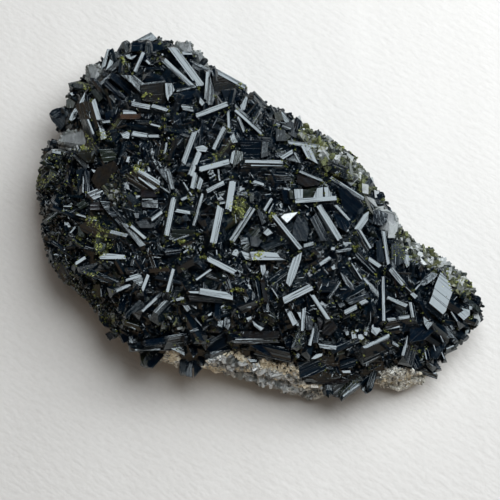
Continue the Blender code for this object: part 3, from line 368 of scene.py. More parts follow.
# Stout prisms at the rim that the outline shows: foot and tip in pixels, across in millimetres,
# and height of the tip
RIM_PRISMS: list[tuple[float, float, float, float, float, float]] = [
    (90, 88, 69, 84, 2.6, 17), (92, 84, 82, 74, 1.6, 17), (152, 352, 143, 369, 3, 13),
    (184, 350, 185, 377, 3.4, 12.5), (200, 352, 203, 369, 3, 13), (300, 358, 303, 384, 3, 13),
    (326, 368, 329, 399, 3.4, 11), (364, 372, 337, 399, 3.2, 11), (376, 362, 367, 393, 2.8, 12),
    (342, 356, 350, 380, 3, 13), (405, 358, 415, 376, 2.4, 11), (425, 350, 440, 373, 2.6, 10),
    (454, 300, 481, 310, 3.2, 14), (452, 316, 481, 324, 3, 13), (438, 332, 459, 344, 2.8, 12),
    (452, 282, 475, 285, 2.8, 15), (60, 184, 35, 185, 4.4, 15), (64, 160, 41, 156, 3.4, 15),
    (62, 146, 48, 142, 2.2, 16), (62, 236, 41, 238, 4, 14), (70, 262, 54, 270, 2.8, 14),
    (122, 322, 110, 341, 3, 12), (296, 132, 300, 116, 3, 19), (316, 144, 319, 129, 2.6, 18.5),
    (362, 190, 374, 178, 3, 17.5), (324, 150, 328, 136, 2.6, 18), (262, 112, 259, 98, 2.4, 19),
    (216, 82, 214, 68, 2.4, 20), (200, 66, 207, 58, 2.4, 19), (128, 56, 124, 40, 2, 18),
    (114, 62, 110, 48, 2, 17),
]

# Quartz crystals: node name, and corners of the top in pixels
QUARTZ: list[tuple[str, tuple[float, ...]]] = [
    ("quartz_west", (59, 136, 66, 130, 85, 130, 90, 138, 88, 146, 70, 147, 58, 142)),
    ("quartz_northwest", (87, 66, 92, 63, 99, 65, 101, 78, 93, 85, 87, 79)),
    ("quartz_north", (175, 43, 184, 40, 191, 43, 194, 51, 186, 54, 176, 50)),
    ("quartz_northeast", (196, 50, 202, 51, 204, 58, 208, 66, 202, 69, 196, 61)),
    ("quartz_east", (374, 208, 384, 206, 395, 213, 399, 224, 395, 236, 384, 238, 374, 226)),
]

# Where the rock is bare: number of grains, and corners in pixels, clockwise
BARE_ROCK: list[tuple[float, ...]] = [
    (1150, 200, 366, 211, 359, 227, 352, 238, 351, 244, 356, 250, 363, 258, 364, 262, 357, 271, 362, 289,
     364, 298, 367, 301, 383, 323, 387, 321, 393, 310, 401, 296, 397, 270, 389, 250, 383, 227, 380, 221,
     368, 206, 367),
    (110, 161, 362, 166, 353, 176, 350, 177, 360, 167, 366),
    (520, 380, 372, 395, 368, 412, 369, 424, 374, 424, 384, 411, 390, 397, 389, 381, 386),
]

# Patches of pistachio-green dust: middle and half size in pixels, and number of grains
LIME_PATCHES: list[tuple[float, float, float, float, int]] = [
    (102, 240, 7, 13, 330), (78, 239, 4, 3, 50), (93, 221, 6, 4, 60), (239, 207, 6, 7, 160),
    (236, 290, 6, 2, 40), (81, 147, 9, 3, 100), (109, 237, 3, 4, 30), (146, 96, 3, 3, 40),
    (87, 87, 3, 3, 30), (123, 60, 3, 3, 24), (242, 86, 4, 3, 24), (335, 176, 4, 3, 30),
    (332, 156, 4, 3, 50), (305, 130, 4, 3, 50), (310, 142, 3, 3, 30), (137, 169, 4, 4, 70),
    (180, 241, 5, 2, 30), (256, 255, 6, 4, 90), (160, 158, 2, 2, 20), (43, 180, 7, 10, 90),
    (71, 182, 5, 5, 70), (217, 157, 7, 4, 40), (203, 255, 2, 3, 25), (270, 215, 3, 3, 20),
    (96, 136, 14, 4, 90), (90, 274, 6, 3, 30), (430, 250, 30, 9, 420), (466, 284, 12, 10, 300),
    (340, 150, 24, 14, 420),
]
# How many of them, at the end, are wide and thin ones whose dust lies on no crystal's own faces
WIDE_PATCHES = 3

# Zones of fine druse: number of grains, share of pale ones, and corners in pixels
DRUSE_ZONES: list[tuple[float, ...]] = [
    (430, 0.62, 300, 126, 348, 155, 368, 178, 366, 192, 340, 176, 302, 148),
    (520, 0.7, 398, 226, 414, 242, 434, 254, 464, 276, 474, 298, 456, 292, 424, 266, 398, 246),
    (60, 0.5, 392, 207, 399, 215, 404, 238, 398, 240, 397, 222),
    (170, 0.06, 43, 155, 74, 148, 66, 200, 72, 260, 54, 256, 47, 220),
    (240, 0.05, 52, 252, 72, 262, 106, 304, 124, 330, 116, 334, 100, 314, 76, 288, 56, 268),
    (120, 0.1, 155, 314, 186, 316, 184, 331, 156, 330), (150, 0.25, 110, 174, 126, 176, 125, 206, 110, 204),
    (40, 0.9, 104, 186, 112, 182, 119, 202, 108, 200), (30, 0.4, 350, 331, 368, 331, 368, 343, 350, 343),
    (70, 0.2, 105, 307, 123, 309, 122, 325, 106, 323),
]


def pairs(flat: Sequence[float]) -> list[Pixel]:
    """A flat list of corners as pairs."""
    return list(zip(flat[::2], flat[1::2]))


def around(points: list[Vector]) -> Iterator[tuple[Vector, Vector]]:
    """Each point with the next, and the last with the first."""
    return zip(points, points[1:] + points[:1])


def smooth_step(x: float, start: float, end: float) -> float:
    """0 before start, 1 after end, and a smooth rise between them."""
    t = min(max((x - start) / (end - start), 0.0), 1.0)
    return t * t * (3 - 2 * t)


def swell(x: float, y: float, pitch: float, layer: float) -> float:
    """Smooth noise over a plane, from -1 to 1."""
    return noise.noise(Vector((x / pitch, y / pitch, layer)))


def heading_axis(heading: float, pitch: float) -> Vector:
    """The direction with a heading and a pitch, both in radians."""
    return Vector((math.cos(heading) * math.cos(pitch), math.sin(heading) * math.cos(pitch), math.sin(pitch)))


def square_to(way: Vector, axis: Vector) -> Vector:
    """The direction nearest to a given one that is square to an axis."""
    return (way - axis * way.dot(axis)).normalized()


def wild(rng: Random, upward: float = 1.0) -> Vector:
    """A random vector that favours no direction, unless upward says how much less it goes up or down."""
    return Vector((rng.gauss(0, 1), rng.gauss(0, 1), rng.gauss(0, upward)))


def lime_here(px: float, py: float) -> bool:
    """Whether an uneven patch of dust covers a pixel that a lime patch reaches."""
    return swell(px, py, 3.2, 1.7) > 0.0


@dataclass(frozen=True)
class Sight:
    """The line of sight of the photograph, and what lies behind its pixels."""

    elevation: float = 72.0
    distance: float = 400.0
    aim: tuple[float, float, float] = (-2.0, -15.75, 24.0)
    mm_per_pixel: float = 0.27
    middle: float = 250.0

    @property
    def back(self) -> Vector:
        """The direction from the aim to the eye."""
        tilt = math.radians(self.elevation)
        return Vector((0, -math.cos(tilt), math.sin(tilt)))

    @property
    def up(self) -> Vector:
        """The upward direction of the picture."""
        tilt = math.radians(self.elevation)
        return Vector((0, math.sin(tilt), math.cos(tilt)))

    @property
    def eye(self) -> Vector:
        """The place of the eye."""
        return Vector(self.aim) + self.back * self.distance

    def ray(self, px: float, py: float) -> Vector:
        """The direction from the eye through a pixel, not of unit length."""
        right = (px - self.middle) * self.mm_per_pixel / self.distance
        up = (self.middle - py) * self.mm_per_pixel / self.distance
        return Vector((right, 0, 0)) + self.up * up - self.back

    def at_height(self, px: float, py: float, z: float) -> Vector:
        """The point at height z behind a pixel."""
        ray = self.ray(px, py)
        return self.eye + ray * ((z - self.eye.z) / ray.z)

    def on_plane(self, px: float, py: float, through: Vector, normal: Vector) -> Vector:
        """The point of a plane behind a pixel."""
        ray = self.ray(px, py)
        return self.eye + ray * ((through - self.eye).dot(normal) / ray.dot(normal))

    def pixel(self, point: Vector) -> Pixel:
        """The pixel in front of a point."""
        gap = point - self.eye
        depth = -gap.dot(self.back)
        scale = self.distance / (depth * self.mm_per_pixel)
        return self.middle + gap.x * scale, self.middle - gap.dot(self.up) * scale


class Outline:
    """A closed outline, in millimetres seen from above or in pixels."""

    def __init__(self, points: Sequence[Vector | Pixel]) -> None:
        """Keeps the points, their edges and the box around them."""
        self.points = [Vector(p) for p in points]
        self.starts = np.array([tuple(p) for p in self.points])
        self.ends = np.roll(self.starts, -1, axis=0)
        xs, ys = zip(*self.points)
        self.box = min(xs), max(xs), min(ys), max(ys)

    def depth(self, x: float, y: float) -> float:
        """Distance from a point to the outline, positive inside it."""
        edges = self.ends - self.starts
        gaps = np.array((x, y)) - self.starts
        along = np.clip((gaps * edges).sum(1) / (edges ** 2).sum(1), 0, 1)
        nearest = np.sqrt(((gaps - edges * along[:, None]) ** 2).sum(1)).min()
        crossed = (self.starts[:, 1] > y) != (self.ends[:, 1] > y)
        rise = np.where(crossed, edges[:, 1], 1.0)
        at = self.starts[:, 0] + (y - self.starts[:, 1]) / rise * edges[:, 0]
        inside = np.count_nonzero(crossed & (x < at)) % 2
        return float(nearest if inside else -nearest)

    def near(self, x: float, y: float, reach: float) -> bool:
        """Whether a point lies in the outline's box, widened by a reach."""
        left, right, low, high = self.box
        return left - reach < x < right + reach and low - reach < y < high + reach

    def scatter(self, rng: Random, count: float, least: float = 0.0) -> Iterator[Pixel]:
        """Random points at least a given depth inside the outline.

        Args:
            rng: the source of chance.
            count: how many points.
            least: the depth.

        Returns:
            The points.
        """
        left, right, low, high = self.box
        while count > 0:
            x, y = rng.uniform(left, right), rng.uniform(low, high)
            if self.depth(x, y) >= least:
                count -= 1
                yield x, y

    def walk(self, step: float) -> Iterator[tuple[Vector, Vector]]:
        """Points at equal steps along the outline, each with the outward direction there.

        Args:
            step: distance from one point to the next.

        Returns:
            Pairs of a point and a direction.
        """
        carried = 0.0
        for a, b in around(self.points):
            edge = b - a
            outward = Vector((-edge.y, edge.x)).normalized()
            while carried < edge.length:
                yield a + edge * (carried / edge.length), outward
                carried += step
            carried -= edge.length

    def finer(self, parts: int) -> list[Vector]:
        """The outline's points with each edge divided in equal parts."""
        return [a.lerp(b, k / parts) for a, b in around(self.points) for k in range(parts)]


@dataclass
class Relief:
    """Heights of the crust and of the rock's bed under it."""

    sight: Sight
    rim_top: float = 14.5
    plateau_rise: float = 12.5
    slope_width: float = 20.0
    lump: float = 1.6
    lump_pitch: float = 11.0
    bed_rim: float = 8.0
    bed_rise: float = 6.0
    bed_lump: float = 0.8
    bed_pitch: float = 7.0
    tip_fall: float = 0.24
    tip_to_x: float = 62.0
    edge_drop: float = 1.2
    edge_lump: float = 2.2
    edge_pitch: float = 6.0
    side_height: float = 3.8
    rim: Outline = field(init=False)

    def __post_init__(self) -> None:
        """Works out the rim as it lies in millimetres."""
        self.rim = Outline([self.sight.at_height(px, py, self.rim_top).to_2d() for px, py in RIM])

    def dome(self, x: float, y: float) -> float:
        """0 at the rim and outside it, 1 on the plateau."""
        t = min(max(self.rim.depth(x, y) / self.slope_width, 0.0), 1.0)
        return 1 - (1 - t) ** 2

    def crust(self, x: float, y: float) -> float:
        """Height of the crust's ground."""
        fall = 1 - self.tip_fall * smooth_step(x, 0.0, self.tip_to_x)
        lump = self.lump * swell(x, y, self.lump_pitch, 3.1)
        return (self.rim_top + self.plateau_rise * self.dome(x, y)) * fall + lump

    def bed(self, x: float, y: float) -> float:
        """Height of the rock's top."""
        outside = min(self.rim.depth(x, y), 0.0)
        lump = self.bed_lump * swell(x, y, self.bed_pitch, 8.4)
        return self.bed_rim + self.bed_rise * self.dome(x, y) + 0.5 * outside + lump

    def crust_edge(self, x: float, y: float) -> float:
        """Height of the crust's broken lower edge."""
        return self.bed_rim - self.edge_drop + self.edge_lump * swell(x, y, self.edge_pitch, 5.7)

    def crust_side(self, x: float, y: float) -> float:
        """Height of the widest part of the crust's side."""
        return self.crust_edge(x, y) + self.side_height

    def behind(self, px: float, py: float, lift: float) -> Vector:
        """The point behind a pixel that lies a given height above the crust's ground."""
        z = self.rim_top + lift
        for _ in range(8):
            point = self.sight.at_height(px, py, z)
            z = 0.5 * z + 0.5 * (self.crust(point.x, point.y) + lift)
        return self.sight.at_height(px, py, z)


class Nodes:
    """A node tree under construction, with short ways to add nodes."""

    def __init__(self, tree: bpy.types.NodeTree) -> None:
        """Starts on a tree."""
        self.tree = tree

    def feed(self, socket: Socket, value: Input) -> None:
        """Links an output to a socket, or sets the socket to a value."""
        if isinstance(value, Socket):
            self.tree.links.new(value, socket)
        else:
            socket.default_value = value

    def node(self, kind: str, **inputs: Input) -> bpy.types.Node:
        """Adds a node.

        Args:
            kind: its kind, without the words that all kinds start with.
            inputs: what its sockets get, by name, with underscores for spaces.

        Returns:
            The node.
        """
        made = self.tree.nodes.new("ShaderNode" + kind)
        for name, value in inputs.items():
            self.feed(made.inputs[name.replace("_", " ")], value)
        return made

    def ramp(self, value: Socket, stops: Stops) -> Socket:
        """A colour for each value, from stops in rising order."""
        node = self.node("ValToRGB", Fac=value)
        elements = node.color_ramp.elements
        while len(elements) < len(stops):
            elements.new(1.0)
        for element, (position, colour) in zip(elements, stops):
            element.position = position
            element.color = (*colour, 1.0)
        return node.outputs["Color"]

    def spread(self, value: Socket, low: float, high: float, to_low: float = 0.0,
               to_high: float = 1.0) -> Socket:
        """A value moved from one range to another, and kept in it."""
        return self.node("MapRange", Value=value, From_Min=low, From_Max=high, To_Min=to_low,
                         To_Max=to_high).outputs["Result"]


@dataclass(frozen=True)
class Studio:
    """The soft panel that lights the specimen, a low window, the dim room around it, and the camera."""

    sight: Sight
    panel_way: tuple[float, float, float] = (0.3, 0.3, 0.905)
    panel_distance: float = 320.0
    panel_half_angle: float = 24.0
    panel_turn: float = 12.0
    panel_tip: float = 8.0
    panel_radiance: float = 5.5
    panel_colour: Colour = (0.915, 0.985, 1.06)
    window_way: tuple[float, float, float] = (0.74, 0.43, 0.5)
    window_distance: float = 680.0
    window_half_angle: float = 18.0
    window_radiance: float = 7.0
    window_colour: Colour = (0.93, 0.985, 1.04)
    room: Stops = (
        (0.0, (0.07, 0.034, 0.012)), (0.35, (0.33, 0.21, 0.125)), (0.5, (0.34, 0.25, 0.17)),
        (0.61, (0.32, 0.25, 0.185)), (0.72, (0.032, 0.042, 0.052)), (0.84, (0.035, 0.053, 0.072)),
        (0.9, (0.155, 0.192, 0.226)), (0.94, (0.85, 0.86, 0.87)), (1.0, (1.3, 1.31, 1.32)),
    )

    @property
    def panel_place(self) -> Vector:
        """The middle of the panel."""
        return Vector(self.sight.aim) + Vector(self.panel_way).normalized() * self.panel_distance

    def bright_normal(self, point: Vector) -> Vector:
        """The normal of a face at a point that mirrors the middle of the panel to the eye."""
        to_eye = (self.sight.eye - point).normalized()
        to_panel = (self.panel_place - point).normalized()
        return (to_eye + to_panel).normalized()

    def build(self) -> None:
        """Makes the panel, the window, the room's light and the camera."""
        self.build_lights()
        self.build_room()
        self.build_camera()

    def build_lights(self) -> None:
        """Makes the round panel, facing a little past the specimen, and the window, which gives no gloss."""
        facing = Matrix.Rotation(math.radians(-self.panel_turn), 3, "Y") @ Vector(self.panel_way)
        facing.rotate(Matrix.Rotation(math.radians(self.panel_tip), 3, "X"))
        radius = math.tan(math.radians(self.panel_half_angle)) * self.panel_distance
        self.disk("panel", self.panel_place, facing, radius, self.panel_radiance, self.panel_colour)
        way = Vector(self.window_way).normalized()
        place = Vector(self.sight.aim) + way * self.window_distance
        radius = math.tan(math.radians(self.window_half_angle)) * self.window_distance
        window = self.disk("window", place, way, radius, self.window_radiance, self.window_colour)
        window.visible_glossy = False

    @staticmethod
    def disk(name: str, place: Vector, facing: Vector, radius: float, radiance: float,
             colour: Colour) -> bpy.types.Object:
        """Makes a round light.

        Args:
            name: its name.
            place: its middle.
            facing: the direction away from which it shines.
            radius: its radius in millimetres.
            radiance: how bright it looks.
            colour: its colour.

        Returns:
            The new object.
        """
        light = bpy.data.lights.new(name, "AREA")
        light.shape = "DISK"
        light.size = 2 * radius * MM
        light.energy = radiance * math.pi * math.pi * (radius * MM) ** 2
        light.color = colour
        holder = bpy.data.objects.new(name, light)
        holder.location = place * MM
        holder.rotation_euler = facing.to_track_quat("Z", "Y").to_euler()
        bpy.context.scene.collection.objects.link(holder)
        return holder

    def build_room(self) -> None:
        """Makes the room's dim light, which is strongest around the panel."""
        world = bpy.data.worlds.new("room")
        world.use_nodes = True
        nodes = Nodes(world.node_tree)
        towards = nodes.node("VectorMath")
        towards.operation = "DOT_PRODUCT"
        nodes.feed(towards.inputs[0], nodes.node("TexCoord").outputs["Generated"])
        nodes.feed(towards.inputs[1], Vector(self.panel_way).normalized())
        colour = nodes.ramp(nodes.spread(towards.outputs["Value"], -1.0, 1.0), self.room)
        nodes.feed(world.node_tree.nodes["Background"].inputs["Color"], colour)
        bpy.context.scene.world = world
        bpy.context.scene.view_settings.view_transform = "Standard"

    def build_camera(self) -> None:
        """Makes the camera at the photograph's viewing angle."""
        data = bpy.data.cameras.new("camera")
        data.sensor_fit = "HORIZONTAL"
        data.angle = 2 * math.atan(self.sight.middle * self.sight.mm_per_pixel / self.sight.distance)
        data.clip_start = 0.01
        camera = bpy.data.objects.new("camera", data)
        camera.location = self.sight.eye * MM
        camera.rotation_euler = self.sight.back.to_track_quat("Z", "Y").to_euler()
        bpy.context.scene.collection.objects.link(camera)
        bpy.context.scene.camera = camera


class Paint(Nodes):
    """A Principled material under construction."""

    def __init__(self, name: str) -> None:
        """Starts a material of that name."""
        self.material = bpy.data.materials.new(name)
        self.material.use_nodes = True
        super().__init__(self.material.node_tree)

    def finish(self, **inputs: Input) -> bpy.types.Material:
        """Feeds the shader's sockets by name, with underscores for spaces, and gives the material."""
        shader = self.tree.nodes["Principled BSDF"]
        for name, value in inputs.items():
            self.feed(shader.inputs[name.replace("_", " ")], value)
        return self.material

    def attribute(self, name: str, output: str) -> Socket:
        """An output of a mesh attribute."""
        node = self.node("Attribute")
        node.attribute_name = name
        return node.outputs[output]

    def growth(self) -> bpy.types.bpy_prop_collection:
        """The growth attribute's channels: Red, Green and Blue."""
        return self.node("SeparateColor", Color=self.attribute("growth", "Color")).outputs

    def place(self) -> Socket:
        """The point's place in the piece's own space, in metres."""
        return self.node("TexCoord").outputs["Object"]

    def stretched(self, vector: Socket, scale: tuple[float, float, float], turn: float = 0.0) -> Socket:
        """A vector scaled along each axis, or turned about Z by a number of degrees."""
        return self.node("Mapping", Vector=vector, Scale=scale,
                         Rotation=(0.0, 0.0, math.radians(turn))).outputs["Vector"]

    def noise(self, vector: Socket, scale: float, detail: float = 3.0, roughness: float = 0.55) -> Socket:
        """Noise over a vector."""
        return self.node("TexNoise", Vector=vector, Scale=scale, Detail=detail,
                         Roughness=roughness).outputs["Fac"]

    def maths(self, operation: str, first: Socket, second: Socket | float) -> Socket:
        """Two values joined by an operation."""
        node = self.node("Math")
        node.operation = operation
        for socket, value in zip(node.inputs, (first, second)):
            self.feed(socket, value)
        return node.outputs["Value"]

    def mix(self, share: Socket, first: Socket | Colour, second: Socket | Colour,
            blend: str = "MIX") -> Socket:
        """Two colours mixed.

        Args:
            share: how much of the second colour.
            first: a colour or an output that gives one.
            second: a colour or an output that gives one.
            blend: the way of mixing.

        Returns:
            The output with the mixed colour.
        """
        node = self.node("Mix")
        node.data_type = "RGBA"
        node.blend_type = blend
        for name, value in (("Factor", share), ("A", first), ("B", second)):
            socket = next(s for s in node.inputs
                          if s.name == name and s.type in ("VALUE", "RGBA") and s.enabled)
            self.feed(socket, (*value, 1.0) if isinstance(value, tuple) else value)
        return next(s for s in node.outputs if s.type == "RGBA" and s.enabled)

    def bump(self, height: Socket, depth: float, under: Socket | None = None) -> Socket:
        """A normal bent by a height.

        Args:
            height: the height, from 0 to 1.
            depth: what a height of 1 stands for, in millimetres.
            under: a normal that this one starts from.

        Returns:
            The output with the normal.
        """
        node = self.node("Bump", Distance=depth * MM, Height=height)
        if under is not None:
            self.feed(node.inputs["Normal"], under)
        return node.outputs["Normal"]


@dataclass(frozen=True)
class EpidoteFinish:
    """Glassy green-black crystal, striated lengthwise, with pistachio-green dust in places."""

    name: str = "epidote_crystal"
    roughness: float = 0.085
    refraction: float = 1.72
    striation: float = 0.03
    groove: float = 0.05
    gloss_tint: tuple[float, float, float, float] = (0.88, 0.96, 0.97, 1.0)
    cloud_colour: Colour = (0.0022, 0.0072, 0.0122)
    tints: Stops = (
        (0.0, (0.0003, 0.0019, 0.0052)), (0.3, (0.0006, 0.0025, 0.0046)), (0.5, (0.007, 0.009, 0.003)),
        (0.75, (0.008, 0.006, 0.004)), (0.92, (0.008, 0.0035, 0.0035)), (1.0, (0.04, 0.022, 0.013)),
    )
    limes: Stops = ((0.3, (0.035, 0.042, 0.01)), (0.6, (0.12, 0.13, 0.03)), (0.8, (0.3, 0.32, 0.15)))

    def build(self) -> bpy.types.Material:
        """Makes the material."""
        paint = Paint(self.name)
        growth = paint.growth()
        grain = paint.attribute("grain", "Vector")
        cloud = paint.noise(grain, 0.6, 4.0)
        body = paint.ramp(growth["Blue"], self.tints)
        body = paint.mix(paint.spread(cloud, 0.4, 0.75, 0.0, 0.5), body, self.cloud_colour)
        speck = paint.noise(grain, 2.2, 5.0, 0.7)
        dust = paint.spread(paint.maths("ADD", speck, growth["Green"]), 1.0, 1.16)
        colour = paint.mix(dust, body, paint.ramp(paint.noise(grain, 5.0, 2.0), self.limes))
        sheen = paint.spread(cloud, 0.3, 0.7, self.roughness * 0.7, self.roughness * 1.7)
        lines = paint.noise(paint.stretched(grain, (0.1, 3.2, 3.2)), 1.0, 3.0, 0.6)
        grooves = paint.noise(paint.stretched(grain, (0.06, 2.2, 2.2)), 1.0, 1.0)
        grooves = paint.spread(grooves, 0.56, 0.62, 1.0, 0.0)
        waves = paint.noise(paint.stretched(grain, (0.4, 0.8, 0.8)), 1.0, 2.0)
        normal = paint.bump(lines, self.striation, paint.bump(waves, self.striation * 2.5))
        normal = paint.bump(grooves, self.groove, normal)
        return paint.finish(
            Base_Color=colour, Roughness=paint.maths("ADD", sheen, paint.maths("MULTIPLY", dust, 0.45)),
            Normal=paint.bump(paint.maths("MULTIPLY", speck, dust), 0.2, normal), IOR=self.refraction,
            Specular_Tint=self.gloss_tint,
        )


@dataclass(frozen=True)
class RockFinish:
    """Dull granular rock, beige in places and grey in others."""

    name: str = "matrix_rock"
    beiges: Stops = (
        (0.34, (0.24, 0.19, 0.12)), (0.46, (0.7, 0.62, 0.45)), (0.58, (0.96, 0.9, 0.73)),
        (0.72, (1.0, 0.98, 0.9)),
    )
    greys: Stops = (
        (0.37, (0.02, 0.02, 0.018)), (0.43, (0.34, 0.333, 0.295)), (0.53, (0.72, 0.707, 0.635)),
        (0.66, (0.97, 0.96, 0.88)),
    )

    def build(self) -> bpy.types.Material:
        """Makes the material."""
        paint = Paint(self.name)
        place = paint.place()
        grit = paint.noise(place, 900.0, 6.0, 0.7)
        grey = paint.ramp(paint.noise(place, 1300.0, 5.0, 0.7), self.greys)
        uneven = paint.spread(paint.noise(place, 260.0, 4.0), 0.3, 0.7, -0.4, 0.4)
        share = paint.spread(paint.maths("ADD", paint.growth()["Red"], uneven), 0.4, 0.6)
        pits = paint.node("TexVoronoi", Vector=place, Scale=1500.0).outputs["Distance"]
        return paint.finish(
            Base_Color=paint.mix(share, grey, paint.ramp(grit, self.beiges)),
            Roughness=paint.spread(grit, 0.3, 0.7, 0.95, 0.6),
            Normal=paint.bump(pits, 0.12, paint.bump(paint.noise(place, 420.0, 6.0, 0.7), 0.5)),
        )


@dataclass(frozen=True)
class QuartzFinish:
    """Cloudy, half see-through quartz, with olive dust in places."""

    name: str = "quartz_crystal"
    clearness: float = 0.25
    refraction: float = 1.55
    shades: Stops = (
        (0.0, (0.085, 0.093, 0.093)), (0.15, (0.045, 0.05, 0.036)), (0.5, (0.11, 0.12, 0.112)),
        (0.85, (0.27, 0.285, 0.28)), (1.0, (0.62, 0.64, 0.64)),
    )
    pale_veil: Colour = (0.26, 0.27, 0.26)
    dark_veil: Colour = (0.02, 0.024, 0.022)
    olive: Colour = (0.1, 0.105, 0.028)

    def build(self) -> bpy.types.Material:
        """Makes the material."""
        paint = Paint(self.name)
        place = paint.place()
        growth = paint.growth()
        cloud = paint.noise(place, 420.0, 5.0, 0.6)
        body = paint.ramp(growth["Red"], self.shades)
        body = paint.mix(paint.spread(cloud, 0.35, 0.7), body, (1.25, 1.25, 1.2), "MULTIPLY")
        veil = paint.noise(paint.stretched(place, (1.6, 0.5, 1.0)), 900.0, 5.0, 0.7)
        body = paint.mix(paint.spread(veil, 0.5, 0.66, 0.0, 0.6), body, self.pale_veil)
        body = paint.mix(paint.spread(veil, 0.34, 0.44, 0.55, 0.0), body, self.dark_veil)
        dusty = paint.maths("ADD", paint.noise(place, 900.0, 4.0, 0.7), growth["Green"])
        return paint.finish(
            Base_Color=paint.mix(paint.spread(dusty, 0.95, 1.15, 0.0, 0.9), body, self.olive),
            Roughness=paint.spread(cloud, 0.3, 0.7, 0.2, 0.5),
            Normal=paint.bump(paint.noise(place, 900.0, 5.0, 0.65), 0.1),
            Transmission_Weight=self.clearness, IOR=self.refraction,
        )


@dataclass(frozen=True)
class DustFinish:
    """Grains of pistachio-green epidote, each with its own shade."""

    name: str = "pistachio_grains"
    refraction: float = 1.7
    shades: Stops = (
        (0.0, (0.012, 0.014, 0.003)), (0.5, (0.08, 0.09, 0.008)), (0.85, (0.26, 0.29, 0.025)),
        (1.0, (0.5, 0.53, 0.2)),
    )

    def build(self) -> bpy.types.Material:
        """Makes the material."""
        paint = Paint(self.name)
        grit = paint.noise(paint.place(), 2600.0, 3.0)
        return paint.finish(
            Base_Color=paint.ramp(paint.growth()["Red"], self.shades), IOR=self.refraction,
            Roughness=paint.spread(grit, 0.3, 0.7, 0.3, 0.6), Normal=paint.bump(grit, 0.05),
        )


@dataclass(frozen=True)
class PaperFinish:
    """Pale paper with a faint fibrous surface."""

    name: str = "paper"
    colour: Colour = (0.6, 0.573, 0.536)
    fibre_shade: float = 0.965
    ribs_per_metre: float = 700.0
    rib_way: float = 35.0

    def build(self) -> bpy.types.Material:
        """Makes the material."""
        paint = Paint(self.name)
        place = paint.place()
        fibre = paint.noise(place, 650.0, 5.0, 0.6)
        darker = tuple(c * self.fibre_shade for c in self.colour)
        turned = paint.stretched(place, (1.0, 1.0, 1.0), self.rib_way)
        ribbing = paint.noise(paint.stretched(turned, (0.4, 1.0, 1.0)), self.ribs_per_metre, 1.0, 0.4)
        ribbing = paint.bump(ribbing, 0.15)
        folds = paint.bump(paint.noise(paint.stretched(place, (1.0, 0.3, 1.0)), 20.0, 2.0), 2.6, ribbing)
        return paint.finish(
            Base_Color=paint.mix(paint.spread(fibre, 0.35, 0.65), self.colour, darker),
            Normal=paint.bump(fibre, 0.12, folds), Roughness=0.95, Specular_IOR_Level=0.1,
        )


class MeshBag:
    """Collects closed forms and turns them into one mesh piece."""

    def __init__(self) -> None:
        """Starts empty."""
        self.points: list[Vector] = []
        self.faces: list[tuple[int, ...]] = []
        self.grain: list[Vector] = []
        self.looks: list[Look] = []

    def add(self, points: Sequence[Vector], faces: Sequence[Sequence[int]], axes: Sequence[Vector],
            look: Look, shift: Vector) -> None:
        """Adds one form.

        Args:
            points: its corners.
            faces: its faces, as numbers of corners, counter-clockwise from outside.
            axes: its directions along, across and up, for the striations.
            look: shade, dust, warmth of tint and a spare number.
            shift: where in the noise its striations start.
        """
        base = len(self.points)
        self.points.extend(points)
        self.grain.extend(Vector([p.dot(axis) for axis in axes]) + shift for p in points)
        self.faces.extend(tuple(base + i for i in face) for face in faces)
        self.looks.extend([look] * len(faces))

    def dust(self, sight: Sight) -> None:
        """Puts lime dust on the faces in the small patches, seen from the photograph's side."""
        for number, face in enumerate(self.faces):
            px, py = sight.pixel(self.points[face[0]])
            for x, y, wide, high, _ in LIME_PATCHES[:-WIDE_PATCHES]:
                if (px - x) ** 2 / wide ** 2 + (py - y) ** 2 / high ** 2 < 1.7 and lime_here(px, py):
                    shade, dust, warm, spare = self.looks[number]
                    self.looks[number] = (shade, max(dust, 0.55), warm, spare)
                    break

    def piece(self, name: str, finish: bpy.types.Material, slot: Slot) -> bpy.types.Object:
        """Makes the piece, which rides on the specimen's one body.

        Args:
            name: the piece's name.
            finish: its material.
            slot: the record's slot that it stands for.

        Returns:
            The new object.
        """
        mesh = bpy.data.meshes.new(name)
        mesh.from_pydata([p * MM for p in self.points], [], self.faces)
        grain = mesh.attributes.new("grain", "FLOAT_VECTOR", "POINT")
        grain.data.foreach_set("vector", np.array([tuple(g) for g in self.grain], np.float32).ravel())
        growth = mesh.attributes.new("growth", "FLOAT_COLOR", "FACE")
        growth.data.foreach_set("color", np.array(self.looks, np.float32).ravel())
        return settle(name, mesh, finish, slot)


def settle(name: str, mesh: bpy.types.Mesh, finish: bpy.types.Material, slot: Slot) -> bpy.types.Object:
    """Makes a piece from a mesh in metres, and lets it ride on the specimen.

    Args:
        name: the piece's name.
        mesh: its mesh.
        finish: its material.
        slot: not used.

    Returns:
        The new object.
    """
    mesh.materials.append(finish)
    made = bpy.data.objects.new(name, mesh)
    bpy.context.scene.collection.objects.link(made)
    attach(made, BODY)
    mesh.calc_loop_triangles()
    log.info("%s: %d triangles", name, len(mesh.loop_triangles))
    return made


def loft_faces(rings: int, sides: int) -> list[tuple[int, ...]]:
    """Faces of a closed form made of rings of points.

    Args:
        rings: number of rings.
        sides: points in each ring, counter-clockwise as seen from the last ring.

    Returns:
        The faces, counter-clockwise from outside.
    """
    faces: list[tuple[int, ...]] = [tuple(reversed(range(sides)))]
    for low in range(rings - 1):
        for i in range(sides):
            j = (i + 1) % sides
            faces.append((low * sides + i, low * sides + j, (low + 1) * sides + j, (low + 1) * sides + i))
    faces.append(tuple(range((rings - 1) * sides, rings * sides)))
    return faces


